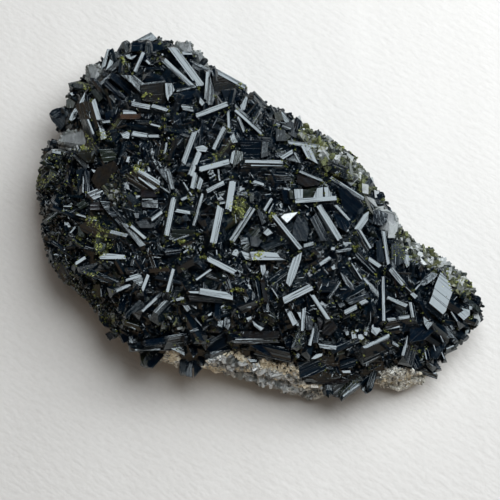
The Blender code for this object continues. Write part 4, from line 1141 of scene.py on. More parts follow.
def ribs(rng: Random, start: Vector, end: Vector, pitch: float, slant: float) -> list[Vector]:
    """Points of a ribbed line between two points of a plane, with the last and without the first.

    Args:
        rng: the source of its unevenness.
        start: where the line starts.
        end: where it ends.
        pitch: least distance between its points.
        slant: how steep its ribs are.

    Returns:
        The points in order.
    """
    gap = end - start
    count = min(8, int(gap.length / pitch))
    side = Vector((-gap.y, gap.x))
    spots = sorted(rng.uniform(0.06, 0.94) for _ in range(count - 1))
    return [start + gap * t + side * ((-1) ** k * slant * rng.choice((0.15, 0.4, 1.1)) / count)
            for k, t in enumerate(spots)] + [end]


@dataclass
class Crystals:
    """Grows single crystals into a bag, and turns them so that few mirror the panel."""

    studio: Studio
    bag: MeshBag
    rng: Random
    chamfer: float = 0.05
    rib_pitch: float = 0.34
    side_pitch: float = 0.42
    side_slant: float = 0.1
    dark_within: float = 15.0
    block: float = 1.5
    noise_span: float = 60.0
    corners: list[Vector] = field(init=False)
    corner_faces: list[tuple[int, ...]] = field(init=False)

    def __post_init__(self) -> None:
        """Works out the block that the grains start from."""
        bm = bmesh.new()
        bmesh.ops.create_cube(bm, size=self.block)
        self.corners = [v.co.copy() for v in bm.verts]
        self.corner_faces = [tuple(v.index for v in f.verts) for f in bm.faces]
        bm.free()

    def look(self, dust: float = 0.1) -> Look:
        """A random look: mostly green-black, sometimes olive, brown or dusty.

        Args:
            dust: chance of dust on it.

        Returns:
            Shade, dust, warmth of tint and a spare number.
        """
        draw = self.rng.random()
        warm = self.rng.uniform(0.0, 0.3)
        if draw > 0.97:
            warm = self.rng.uniform(0.6, 0.92)
        elif draw > 0.93:
            warm = self.rng.uniform(0.4, 0.56)
        dusty = self.rng.uniform(0.3, 0.48) if self.rng.random() < dust else self.rng.uniform(0.0, 0.22)
        return self.rng.random(), dusty, warm, 1.0

    def olive_look(self) -> Look:
        """A random look for a crystal that is half covered in olive dust."""
        return self.rng.random(), self.rng.uniform(0.4, 0.7), self.rng.uniform(0.0, 0.5), 1.0

    def put(self, points: Sequence[Vector], faces: Sequence[Sequence[int]], axes: Sequence[Vector],
            look: Look) -> None:
        """Adds a form to the bag, with striations of its own."""
        shift = Vector([self.rng.uniform(0, self.noise_span) for _ in range(3)])
        self.bag.add(points, faces, axes, look, shift)

    def lath(self, start: Vector, end: Vector, normal: Vector, width: float, depth: float, look: Look,
             steps: int = 0, top_slant: float = 0.06, free: Sequence[bool] = (True, True)) -> None:
        """Adds a lath with a flat face between two points, and a broad side face next to it.

        Args:
            start: one end of the face's middle line.
            end: its other end.
            normal: the face's normal.
            width: the face's width.
            depth: how far the lath goes down from its face.
            look: its look.
            steps: number of low steps that divide the face lengthwise.
            top_slant: how steep the ribs of its face are.
            free: whether the broad side may be the right one, and the left one.
        """
        rng = self.rng
        along = (end - start).normalized()
        across = normal.cross(along).normalized()
        half = width / 2
        bevel = min(self.chamfer, 0.15 * width)
        broad = depth * rng.uniform(0.3, 0.8)
        steep = depth * rng.uniform(0.0, 0.25)
        right, left = (broad, steep) if rng.random() < 0.5 else (steep, broad)
        if not all(free):
            right, left = (broad if side else steep for side in free)
        drops = [rng.uniform(0.05, 0.13) for _ in range(steps)]
        marks = sorted((rng.choice((-1, 1)) * rng.uniform(0.3, 0.8) * half for _ in range(steps)),
                       reverse=True)
        corner = Vector((half - bevel, 0.0))
        line = [corner]
        strips = [0]
        for i, mark in enumerate(marks + [bevel - half]):
            goal = Vector((mark + 0.02 * (i < steps), corner.y))
            fine = ribs(rng, corner, goal, self.rib_pitch, top_slant)
            line += fine
            strips += [i] * len(fine)
            if i < steps:
                corner = Vector((mark - 0.02, min(corner.y + rng.choice((-1, 1)) * drops[i], 0.0)))
                line.append(corner)
                strips.append(i + 1)
        section = [(p.x, p.y, strip) for p, strip in zip(line, strips)]
        slopes = ((Vector((-half, line[-1].y - bevel)), Vector((-half - left, -depth)), steps),
                  (Vector((half + right, -depth)), Vector((half, -bevel)), 0))
        for first, last, strip in slopes:
            side = [first] + ribs(rng, first, last, self.side_pitch, self.side_slant)
            section += [(p.x, p.y, strip) for p in side]
        reach = min(0.8, 0.12 * (end - start).length)
        points = []
        for place, sign in ((start, -1), (end, 1)):
            skew = rng.uniform(-0.55, 0.55)
            slope = rng.uniform(0.1, 0.5)
            inset = [rng.uniform(0, reach) for _ in range(steps + 1)]
            rings = []
            for shift, sink in ((-bevel, 0.0), (0.0, bevel)):
                ring = []
                for u, v, strip in section:
                    top = v > -0.3 * depth
                    out = shift - inset[strip] * top + slope * -v
                    ring.append(place + across * u + normal * (v - sink * top)
                                + along * (sign * out + skew * max(min(u, half), -half)))
                rings.append(ring)
            points += sum(rings if sign > 0 else reversed(rings), [])
        self.put(points, loft_faces(4, len(section)), (along, across, normal), look)

    def prism(self, foot: Vector, tip: Vector, width: float, thickness: float, look: Look, bright: float,
              sides: int = 6) -> None:
        """Adds a flattened prism with an uneven end.

        Args:
            foot: the middle of its lower end.
            tip: the middle of its upper end.
            width: its size across.
            thickness: its size through.
            look: its look.
            bright: chance that a face may mirror the panel.
            sides: number of its side faces.
        """
        rng = self.rng
        along = (tip - foot).normalized()
        length = (tip - foot).length
        ideal = self.studio.bright_normal(tip)
        limit = math.cos(math.radians(self.dark_within))
        faces = loft_faces(3, sides)
        may_shine = rng.random() < bright
        side = along.cross(Vector((0.3, 0.1, 1))).normalized()
        for _ in range(7):
            roll = rng.uniform(0, math.tau)
            across = (Matrix.Rotation(roll, 3, along) @ side).normalized()
            through = along.cross(across).normalized()
            lean = (rng.uniform(-0.6, 0.6), rng.uniform(-0.5, 0.5))
            taper = rng.uniform(0.45, 0.9)
            cap = min(rng.uniform(0.15, 0.6) * width, 0.3 * length)
            points = []
            for level, scale in ((0.0, 0.92), (length - cap, 1.0), (length, taper)):
                for k in range(sides):
                    angle = math.tau * (k + 0.5) / sides
                    u = math.cos(angle) * width / 2 * scale
                    v = math.sin(angle) * thickness / 2 * scale
                    tilt = (lean[0] * u + lean[1] * v) * (level != 0.0)
                    points.append(foot + along * (level + tilt) + across * u + through * v)
            if may_shine or not self.shines(points, faces, ideal, limit):
                break
        self.put(points, faces, (along, across, through), look)

    def lump(self, place: Vector, size: float, look: Look) -> None:
        """Adds an angular grain.

        Args:
            place: its middle.
            size: its radius.
            look: its look.
        """
        rng = self.rng
        axis = wild(rng).normalized()
        turned = Matrix.Rotation(rng.uniform(0, math.tau), 3, axis)
        stretch = Vector((rng.uniform(0.6, 1.0), rng.uniform(0.7, 1.1), rng.uniform(0.9, 1.4)))
        points = [place + turned @ (corner * stretch * (size * rng.uniform(0.6, 1.15)))
                  for corner in self.corners]
        self.bag.add(points, self.corner_faces, tuple(turned.col), look, place)

    def chip(self, place: Vector, way: float, length: float, width: float) -> None:
        """Adds a sliver whose top catches the light.

        Args:
            place: the middle of its top.
            way: its direction in the picture, in radians.
            length: its length.
            width: its width.
        """
        rng = self.rng
        ideal = self.studio.bright_normal(place)
        along = square_to(Vector((math.cos(way), math.sin(way), 0)), ideal)
        normal = Matrix.Rotation(math.radians(rng.uniform(-13, 13)), 3, along) @ ideal
        across = normal.cross(along)
        points = []
        for down, reach, spread in ((0.25 + 0.3 * length, 0.7, 1.4), (-0.1, 1.0, 1.0)):
            for u, v in ((-1, -1), (1, -1), (1, 1), (-1, 1)):
                points.append(place - normal * down + along * (u * reach * length / 2 * rng.uniform(0.8, 1.1))
                              + across * (v * spread * width / 2 * rng.uniform(0.4, 1.2)))
        look = (rng.random(), 0.1, rng.uniform(0, 0.4), 1.0)
        self.bag.add(points, loft_faces(2, 4), (along, across, normal), look, place)

    @staticmethod
    def shines(points: Sequence[Vector], faces: Sequence[Sequence[int]], ideal: Vector, limit: float) -> bool:
        """Whether a face of some size lies near the attitude that mirrors the panel."""
        for face in faces:
            a, b, c = (points[face[i]] for i in (0, 1, len(face) // 2 + 1 if len(face) > 4 else 2))
            cross = (b - a).cross(c - a)
            if cross.length > 0.12 and cross.normalized().dot(ideal) > limit:
                return True
        return False


@dataclass
class Clearance:
    """Knows the crystals that the photograph shows, so that others don't hide them."""

    sight: Sight
    lines: list[tuple[float, ...]] = field(default_factory=list)
    shields: list[tuple[Outline, float]] = field(default_factory=list)
    table: np.ndarray | None = None
    bare: list[Outline] = field(init=False)
    edge: Outline = field(init=False)

    def __post_init__(self) -> None:
        """Works out the picture's rim and where the rock is bare."""
        self.edge = Outline(RIM)
        self.bare = [Outline(pairs(flat)) for _, *flat in BARE_ROCK]

    def guard_line(self, a: Vector, b: Vector, half: float) -> None:
        """Guards a lath from a to b."""
        reach = half / self.sight.mm_per_pixel
        self.lines.append((*self.sight.pixel(a), *self.sight.pixel(b), a.z, b.z, reach))

    def guard_face(self, corners: Sequence[Pixel], height: float) -> None:
        """Guards a face with those corners in pixels."""
        self.shields.append((Outline(corners), height))

    def hidden_by(self, point: Vector, half: float, under: float = 0.25) -> bool:
        """Whether something at a point, of a given half width, would hide a guarded crystal."""
        if self.table is None:
            self.table = np.array(self.lines)
        px, py = self.sight.pixel(point)
        reach = half / self.sight.mm_per_pixel
        rows = self.table
        edge = rows[:, 2:4] - rows[:, 0:2]
        gap = np.array((px, py)) - rows[:, 0:2]
        t = np.clip((gap * edge).sum(1) / (edge ** 2).sum(1), 0, 1)
        away = np.sqrt(((gap - edge * t[:, None]) ** 2).sum(1))
        height = rows[:, 4] + (rows[:, 5] - rows[:, 4]) * t
        if np.any((away < rows[:, 6] + reach) & (point.z > height - under)):
            return True
        return any(point.z > top - under and outline.near(px, py, reach) and outline.depth(px, py) > -reach
                   for outline, top in self.shields)

    def fits(self, foot: Vector, tip: Vector, half: float, under: float = 0.25) -> bool:
        """Whether a crystal from foot to tip hides nothing, and stays that far under what it comes near."""
        return not any(self.hidden_by(foot.lerp(tip, t), half, under) for t in (0.25, 0.5, 0.75, 1.0))

    def bares(self, tip: Vector, half: float, over: float = 1.0) -> bool:
        """Whether a tip keeps within the rim that the photograph shows, and off the bare rock.

        Args:
            tip: the tip.
            half: its half width.
            over: how many pixels past the rim it may reach.

        Returns:
            Whether it keeps to both.
        """
        px, py = self.sight.pixel(tip)
        return self.edge.depth(px, py) > -over and all(
            zone.depth(px, py) < -half / self.sight.mm_per_pixel for zone in self.bare)


def slab(outline: Sequence[Vector], levels: Sequence[tuple[float, float | Callable[[float, float], float]]],
         spacing: float, rough: float, wobble: float, rng: Random) -> bmesh.types.BMesh:
    """A closed solid from rings of an outline, with an uneven top and a plain bottom.

    Args:
        outline: the outline, clockwise.
        levels: from the bottom up, each ring's outward offset and its height, a number or a function
            of x and y. The last one is such a function, for the whole top.
        spacing: distance between the points of the top.
        rough: how far the rings swing in and out.
        wobble: how far the rings swing up and down.
        rng: the source of the top's uneven points.

    Returns:
        The solid.
    """
    bm = bmesh.new()
    count = len(outline)
    rings: list[list[bmesh.types.BMVert]] = []
    for offset, height in levels:
        ring = []
        for i, point in enumerate(outline):
            edge = outline[(i + 1) % count] - outline[i - 1]
            outward = Vector((-edge.y, edge.x)).normalized()
            spot = point + outward * (offset + rough * swell(point.x, point.y, 5.0, 2.3 * len(rings)))
            z = height
            if callable(height):
                z = height(spot.x, spot.y)
            elif rings:
                z += wobble * swell(spot.x, spot.y, 7.0, 3.7 * len(rings))
            ring.append(bm.verts.new((spot.x, spot.y, z)))
        rings.append(ring)
    for low, high in zip(rings, rings[1:]):
        for i in range(count):
            j = (i + 1) % count
            bm.faces.new((low[j], low[i], high[i], high[j]))
    for ring in (rings[-1], rings[0]):
        border = [v.co.to_2d() for v in ring]
        inner = []
        if ring is rings[-1]:
            top = levels[-1][1]
            for spot in uneven_grid(border, spacing, rng):
                inner.append(bm.verts.new((spot.x, spot.y, top(spot.x, spot.y))))
        flat = border + [v.co.to_2d() for v in inner]
        _, _, faces, origin, _, _ = delaunay_2d_cdt(flat, [], [list(range(count))], 1, 1e-5)
        source = ring + inner
        for face in faces:
            bm.faces.new([source[origin[v][0]] for v in face])
    bmesh.ops.recalc_face_normals(bm, faces=bm.faces)
    if bm.calc_volume(signed=True) < 0:
        bmesh.ops.reverse_faces(bm, faces=bm.faces)
    bmesh.ops.triangulate(bm, faces=bm.faces)
    return bm


def uneven_grid(border: Sequence[Vector], spacing: float, rng: Random) -> Iterator[Vector]:
    """Uneven points at about a given spacing inside a border."""
    outline = Outline(border)
    left, right, y, high = outline.box
    row = 0
    while y < high:
        x = left + (spacing / 2 if row % 2 else 0)
        while x < right:
            spot = Vector((x + rng.uniform(-0.25, 0.25) * spacing, y + rng.uniform(-0.25, 0.25) * spacing))
            if outline.depth(spot.x, spot.y) > 0.4 * spacing:
                yield spot
            x += spacing
        y += spacing * 0.87
        row += 1


def spots_on(faces: Sequence[bmesh.types.BMFace], rng: Random, count: int) -> Iterator[tuple[Vector, Vector]]:
    """Random points of triangles, spread over their area.

    Args:
        faces: the triangles.
        rng: the source of chance.
        count: how many points.

    Returns:
        Pairs of a point and its triangle's normal.
    """
    areas = np.cumsum([f.calc_area() for f in faces])
    for _ in range(count):
        face = faces[int(np.searchsorted(areas, rng.random() * areas[-1]))]
        a, b, c = (v.co for v in face.verts)
        s, t = rng.random(), rng.random()
        if s + t > 1:
            s, t = 1 - s, 1 - t
        yield a + (b - a) * s + (c - a) * t, face.normal


@dataclass
class Rock:
    """The pale rock that the crust grew on: broken, granular sides over a flat underside."""

    relief: Relief
    rings: tuple[tuple[float, float], ...] = ((-2.8, 0.0), (-0.6, 1.6), (0.0, 3.6), (-1.2, 5.4), (-0.6, 7.0))
    top_outset: float = -2.2
    rough: float = 2.6
    wobble: float = 1.5
    spacing: float = 8.5
    cuts: int = 7
    seen_width: float = 7.0
    lowest: float = 0.05
    grit: float = 0.55
    grit_pitch: float = 2.6
    beige_from_x: float = -2.0
    beige_width: float = 8.0
    east_x: tuple[float, float] = (30.0, 38.0)
    east_beige: float = 0.55

    def build(self, finish: bpy.types.Material) -> bpy.types.Object:
        """Makes the rock in place of its plain solid."""
        outline = [Vector(p) for p in ROCK_OUTLINE]
        levels = self.rings + ((self.top_outset, self.relief.bed),)
        bm = slab(outline, levels, self.spacing, self.rough, self.wobble, Random(SEED))
        side = [e for e in bm.edges if any(f.normal.z > -0.95 and self.shows(f) for f in e.link_faces)]
        bmesh.ops.subdivide_edges(bm, edges=side, cuts=self.cuts, use_grid_fill=True)
        bmesh.ops.triangulate(bm, faces=bm.faces)
        bm.normal_update()
        for vert in bm.verts:
            if vert.co.z > self.lowest:
                vert.co += vert.normal * self.roughness_at(vert.co)
                vert.co.z = max(vert.co.z, self.lowest)
        mesh = bpy.data.meshes.new("rock")
        layer = bm.loops.layers.float_color.new("growth")
        for face in bm.faces:
            for loop in face.loops:
                loop[layer] = (self.beige_at(loop.vert.co), 0.0, 0.0, 1.0)
        bmesh.ops.scale(bm, vec=(MM, MM, MM), verts=bm.verts)
        bm.to_mesh(mesh)
        bm.free()
        made = settle("rock", mesh, finish, Slot.ROCK)
        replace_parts(made, "matrix")
        return made

    def shows(self, face: bmesh.types.BMFace) -> bool:
        """Whether a face lies where it can be seen."""
        return self.relief.rim.depth(*face.calc_center_median().xy) < self.seen_width

    def roughness_at(self, point: Vector) -> float:
        """How far the surface stands out at a point."""
        coarse = noise.fractal(point / self.grit_pitch, 0.7, 2.1, 4)
        blocks = noise.voronoi(point / self.grit_pitch)[0][0]
        return self.grit * (1.1 * coarse + 1.6 * (0.4 - blocks))

    def beige_at(self, point: Vector) -> float:
        """How beige the rock is at a point, against grey."""
        west = 1 - smooth_step(point.x, self.beige_from_x, self.beige_from_x + self.beige_width)
        east = self.east_beige * smooth_step(point.x, *self.east_x)
        low = smooth_step(point.z, 2.0, 6.5)
        return min(1.0, max(west, east) * (0.35 + 0.65 * low))


@dataclass
class Crust:
    """The ground of the epidote crust, and the small crystals that cover it."""

    relief: Relief
    studio: Studio
    clearance: Clearance
    spacing: float = 3.0
    sink: float = 1.2
    carpet_count: int = 5200
    carpet_length: tuple[float, float] = (1.0, 3.4)
    carpet_width: tuple[float, float] = (0.5, 1.7)
    carpet_root: float = 0.5
    carpet_margin: float = 0.6
    carpet_under: tuple[float, float] = (0.3, 1.5)
    carpet_bright: float = 0.06
    coat_count: int = 3400
    coat_width: tuple[float, float] = (0.6, 2.0)
    coat_shortest: float = 0.6
    coat_longest: tuple[float, float] = (1.7, 2.2)
    coat_outside: tuple[float, float] = (1.6, 2.2)
    coat_root: float = 0.8
    coat_bright: float = 0.1
    side_dust: float = 0.3
    stone_drop: float = 3.4
    stone_size: tuple[float, float] = (0.3, 1.2)
    olive_from: float = 290.0

    def build_ground(self, finish: bpy.types.Material) -> bmesh.types.BMesh:
        """Makes the ground in place of the crust's plain solid.

        Args:
            finish: its material.

        Returns:
            Its mesh in millimetres, for the crystals that stand on it.
        """
        relief = self.relief
        levels = ((-1.5, relief.crust_edge), (0.9, relief.crust_side),
                  (0.0, lambda x, y: relief.crust(x, y) - self.sink))
        bm = slab(relief.rim.finer(3), levels, self.spacing, 1.0, 0.0, Random(SEED))
        bag = MeshBag()
        bm.verts.index_update()
        bag.add([v.co.copy() for v in bm.verts], [[v.index for v in f.verts] for f in bm.faces],
                Matrix.Identity(3).row, (0.3, 0.12, 0.1, 1.0), Vector())
        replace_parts(bag.piece("epidote_ground", finish, Slot.EPIDOTE), "epidote")
        return bm

    def carpet(self, ground: bmesh.types.BMesh, bag: MeshBag) -> None:
        """Covers the ground's top and sides with small crystals.

        Args:
            ground: the ground's mesh.
            bag: where they go.
        """
        rng = Random(SEED + 11)
        crystals = Crystals(self.studio, bag, rng)
        faces = [f for f in ground.faces if f.normal.z > -0.5]
        for foot, normal in spots_on(faces, rng, self.carpet_count):
            way = wild(rng, 0.7).normalized()
            axis = (normal * rng.uniform(0.2, 1.3) + way).normalized()
            if axis.dot(normal) < 0.1:
                axis = (axis + normal * 0.6).normalized()
            length = rng.uniform(*self.carpet_length) * rng.uniform(0.6, 1.0)
            width = rng.uniform(*self.carpet_width)
            tip = foot + axis * length
            foot = foot - axis * self.carpet_root
            if (self.relief.rim.depth(tip.x, tip.y) >= self.carpet_margin
                    and self.clearance.bares(tip, width / 2)
                    and self.clearance.fits(foot, tip, width / 2, rng.uniform(*self.carpet_under))):
                crystals.prism(foot, tip, width, width * rng.uniform(0.35, 0.9), crystals.look(),
                               self.carpet_bright, rng.choice((4, 6)))

    def coat(self, ground: bmesh.types.BMesh, bag: MeshBag, rock: MeshBag) -> None:
        """Covers the ground's sides with stout crystals, and with rock where the photograph shows it bare.

        Args:
            ground: the ground's mesh.
            bag: where the crystals go.
            rock: where the rock goes.
        """
        rng = Random(SEED + 12)
        crystals = Crystals(self.studio, bag, rng)
        stones = replace(crystals, bag=rock)
        faces = [f for f in ground.faces if -0.7 < f.normal.z < 0.8
                 and self.relief.rim.depth(*f.calc_center_median().xy) < 2.0]
        for foot, normal in spots_on(faces, rng, self.coat_count):
            px, py = self.clearance.sight.pixel(foot)
            if any(zone.depth(px, py) > -4 for zone in self.clearance.bare):
                for _ in range(2):
                    place = foot - Vector((0, 0, rng.uniform(0.0, self.stone_drop)))
                    stones.lump(place, rng.uniform(*self.stone_size), (rng.choice((0.0, 0.2, 1.0)), 0, 0, 1))
                continue
            axis = (normal + wild(rng).normalized() * 0.8).normalized()
            north_east = foot.x + foot.y > 20 and foot.y > -25
            longest, outside = (pair[not north_east] for pair in (self.coat_longest, self.coat_outside))
            tip = foot + axis * rng.uniform(self.coat_shortest, longest)
            width = rng.uniform(*self.coat_width)
            if (self.relief.rim.depth(tip.x, tip.y) > -outside and self.clearance.bares(tip, 0.0, 6.0)
                    and self.clearance.fits(foot, tip, width / 2, 0.1)):
                thickness = width * rng.uniform(0.4, 0.9)
                olive = north_east and px > self.olive_from
                look = crystals.olive_look() if olive else crystals.look(self.side_dust)
                crystals.prism(foot - axis * self.coat_root, tip, width, thickness, look, self.coat_bright,
                               rng.choice((4, 6)))


@dataclass
class Laths:
    """The laths and broad faces that the photograph shows one by one."""

    relief: Relief
    studio: Studio
    clearance: Clearance
    bright_turn: float = 16.0
    root: float = 1.4
    steepest: float = 34.0
    rib_pitch: float = 0.8
    bevel: float = 0.06
    plain_grain: float = 0.35
    quartz_height: float = 8.0

    def face_line(self, row: Lath) -> tuple[Vector, Vector, Vector]:
        """Where a lath's face lies.

        Args:
            row: the lath's row in its table.

        Returns:
            Both ends of the face's middle line, and the bright normal there.
        """
        x1, y1, x2, y2, _, turn, lift = row
        start = self.relief.behind(x1, y1, lift)
        end = self.relief.behind(x2, y2, lift)
        middle = (start + end) / 2
        ideal = self.studio.bright_normal(middle)
        if turn < self.bright_turn:
            start = self.relief.sight.on_plane(x1, y1, middle, ideal)
            end = self.relief.sight.on_plane(x2, y2, middle, ideal)
        return start, end, ideal

    def guard(self) -> None:
        """Tells the clearance where the laths and faces lie."""
        for row in LATHS:
            start, end, _ = self.face_line(row)
            self.clearance.guard_line(start, end, row[4] / 2)
        faces = [(lift, pairs(flat)) for _, lift, _, *flat in FACES]
        faces += [(lift, pairs(flat)) for lift, _, *flat in QUARTZ_BLOCKS]
        for lift, corners in faces:
            self.clearance.guard_face(corners, self.middle_of(corners, lift).z)
        for _, flat in QUARTZ:
            self.clearance.guard_face(pairs(flat), self.quartz_height)

    def middle_of(self, corners: Sequence[Pixel], lift: float) -> Vector:
        """The point above the crust behind the middle of some corners."""
        xs, ys = zip(*corners)
        return self.relief.behind(sum(xs) / len(xs), sum(ys) / len(ys), lift)

    def build(self, bag: MeshBag) -> None:
        """Adds every lath and face."""
        crystals = Crystals(self.studio, bag, Random(SEED + 1))
        for row in LATHS:
            self.listed_lath(crystals, row)
        for turn, lift, warm, *flat in FACES:
            self.broad_face(crystals, pairs(flat), turn, lift, warm)

    def listed_lath(self, crystals: Crystals, row: Lath) -> None:
        """Adds one lath of the tables.

        Args:
            crystals: what grows it.
            row: the lath's row in its table.
        """
        rng = crystals.rng
        width, turn, lift = row[4:]
        start, end, ideal = self.face_line(row)
        axis = (end - start).normalized()
        turned = Matrix.Rotation(math.radians(turn) * rng.choice((-1, 1)), 3, axis) @ square_to(ideal, axis)
        steps = 0 if width < 0.75 else rng.choice((0, 1, 1)) if width < 1.3 else rng.choice((1, 2))
        across = turned.cross(axis).normalized() * (width / 2 + 1.2)
        middle = (start + end) / 2 - turned * 1.1
        free = [not self.clearance.hidden_by(middle + across * side, 0.6, 0.0) for side in (1, -1)]
        look = (rng.random(), rng.uniform(0.0, 0.25), rng.uniform(0.0, 0.3), 1.0)
        crystals.lath(start, end, turned, width, max(lift + self.root, 1.3 * width), look, steps, free=free)

    def broad_face(self, crystals: Crystals, corners: Sequence[Pixel], turn: float, lift: float,
                   warm: float, shade: float = 0.5) -> None:
        """Adds a crystal whose top face has the given corners.

        Args:
            crystals: what grows it.
            corners: the face's corners in pixels, clockwise.
            turn: how far the face is turned from the bright attitude, in degrees.
            lift: its height above the crust.
            warm: warmth of its tint.
            shade: how pale it is, if it is quartz.
        """
        middle = self.middle_of(corners, lift)
        ideal = self.studio.bright_normal(middle)
        way = crystals.rng.uniform(0, math.tau)
        axis = (Vector((math.cos(way), math.sin(way), 0)) - ideal * ideal.x * math.cos(way)).normalized()
        normal = Matrix.Rotation(-math.radians(min(turn, self.steepest)), 3, axis) @ ideal
        sight = self.relief.sight
        top = [sight.on_plane(px, py, middle, normal) for px, py in reversed(corners)]
        centre = sum(top, Vector()) / len(top)
        down = (normal * 0.25 + sight.back * 0.75) * (max(lift, 0.0) + 2.4)
        points = [p + (p - centre) * 0.05 - down for p in top] + [p - normal * self.bevel for p in top]
        points += [centre + (p - centre) * (1 - self.bevel / max((p - centre).length, 0.3)) for p in top]
        along = max((b - a for a, b in around(top)), key=lambda edge: edge.length).normalized()
        across = normal.cross(along).normalized()
        faces = loft_faces(3, len(top))
        fine = self.plain_grain
        if warm != PLAIN:
            points, faces = self.ribbed(crystals.rng, points, faces, across, normal, turn, warm)
            fine = 1.0
        crystals.put(points, faces, (along * fine, across * fine, normal * fine),
                     (shade, 0.28 if 0.4 < warm < 0.6 else 0.12, warm, 1.0))

    def ribbed(self, rng: Random, points: Sequence[Vector], faces: Sequence[Sequence[int]],
               across: Vector, normal: Vector, turn: float,
               warm: float) -> tuple[list[Vector], list[tuple[int, ...]]]:
        """Cuts a body's last face in ribs.

        Args:
            rng: the source of their unevenness.
            points: the body's points.
            faces: its faces, the one to cut last.
            across: the direction across the ribs.
            normal: the last face's normal.
            turn: how far that face is turned from the bright attitude, in degrees.
            warm: warmth of its tint.

        Returns:
            The points and faces of the body with the ribs.
        """
        bm = bmesh.new()
        verts = [bm.verts.new(p) for p in points]
        made = [bm.faces.new([verts[i] for i in face]) for face in faces]
        spans = [v.co.dot(across) for v in made[-1].verts]
        pitch = self.rib_pitch * rng.uniform(0.7, 1.4)
        slant = (0.045 if turn < 10 else 0.025 if turn < 18 or 0.6 < warm else 0.03) * pitch / 2
        at = min(spans) + pitch * rng.uniform(0.6, 1.0)
        tops = [made[-1]]
        side = 1
        while at < max(spans) - 0.4 * pitch:
            geometry = set(tops) | {e for f in tops for e in f.edges} | {v for f in tops for v in f.verts}
            cut = bmesh.ops.bisect_plane(bm, geom=list(geometry), dist=0.01, plane_co=across * at,
                                         plane_no=across)
            for vert in (g for g in cut["geom_cut"] if isinstance(g, bmesh.types.BMVert)):
                vert.co += normal * (side * slant * rng.choice((0.2, 0.6, 1.2)))
            tops = [g for g in cut["geom"] if isinstance(g, bmesh.types.BMFace)]
            at += pitch * rng.choice((0.4, 0.8, 1.9))
            side = -side
        bm.verts.index_update()
        result = [v.co.copy() for v in bm.verts], [tuple(v.index for v in f.verts) for f in bm.faces]
        bm.free()
        return result


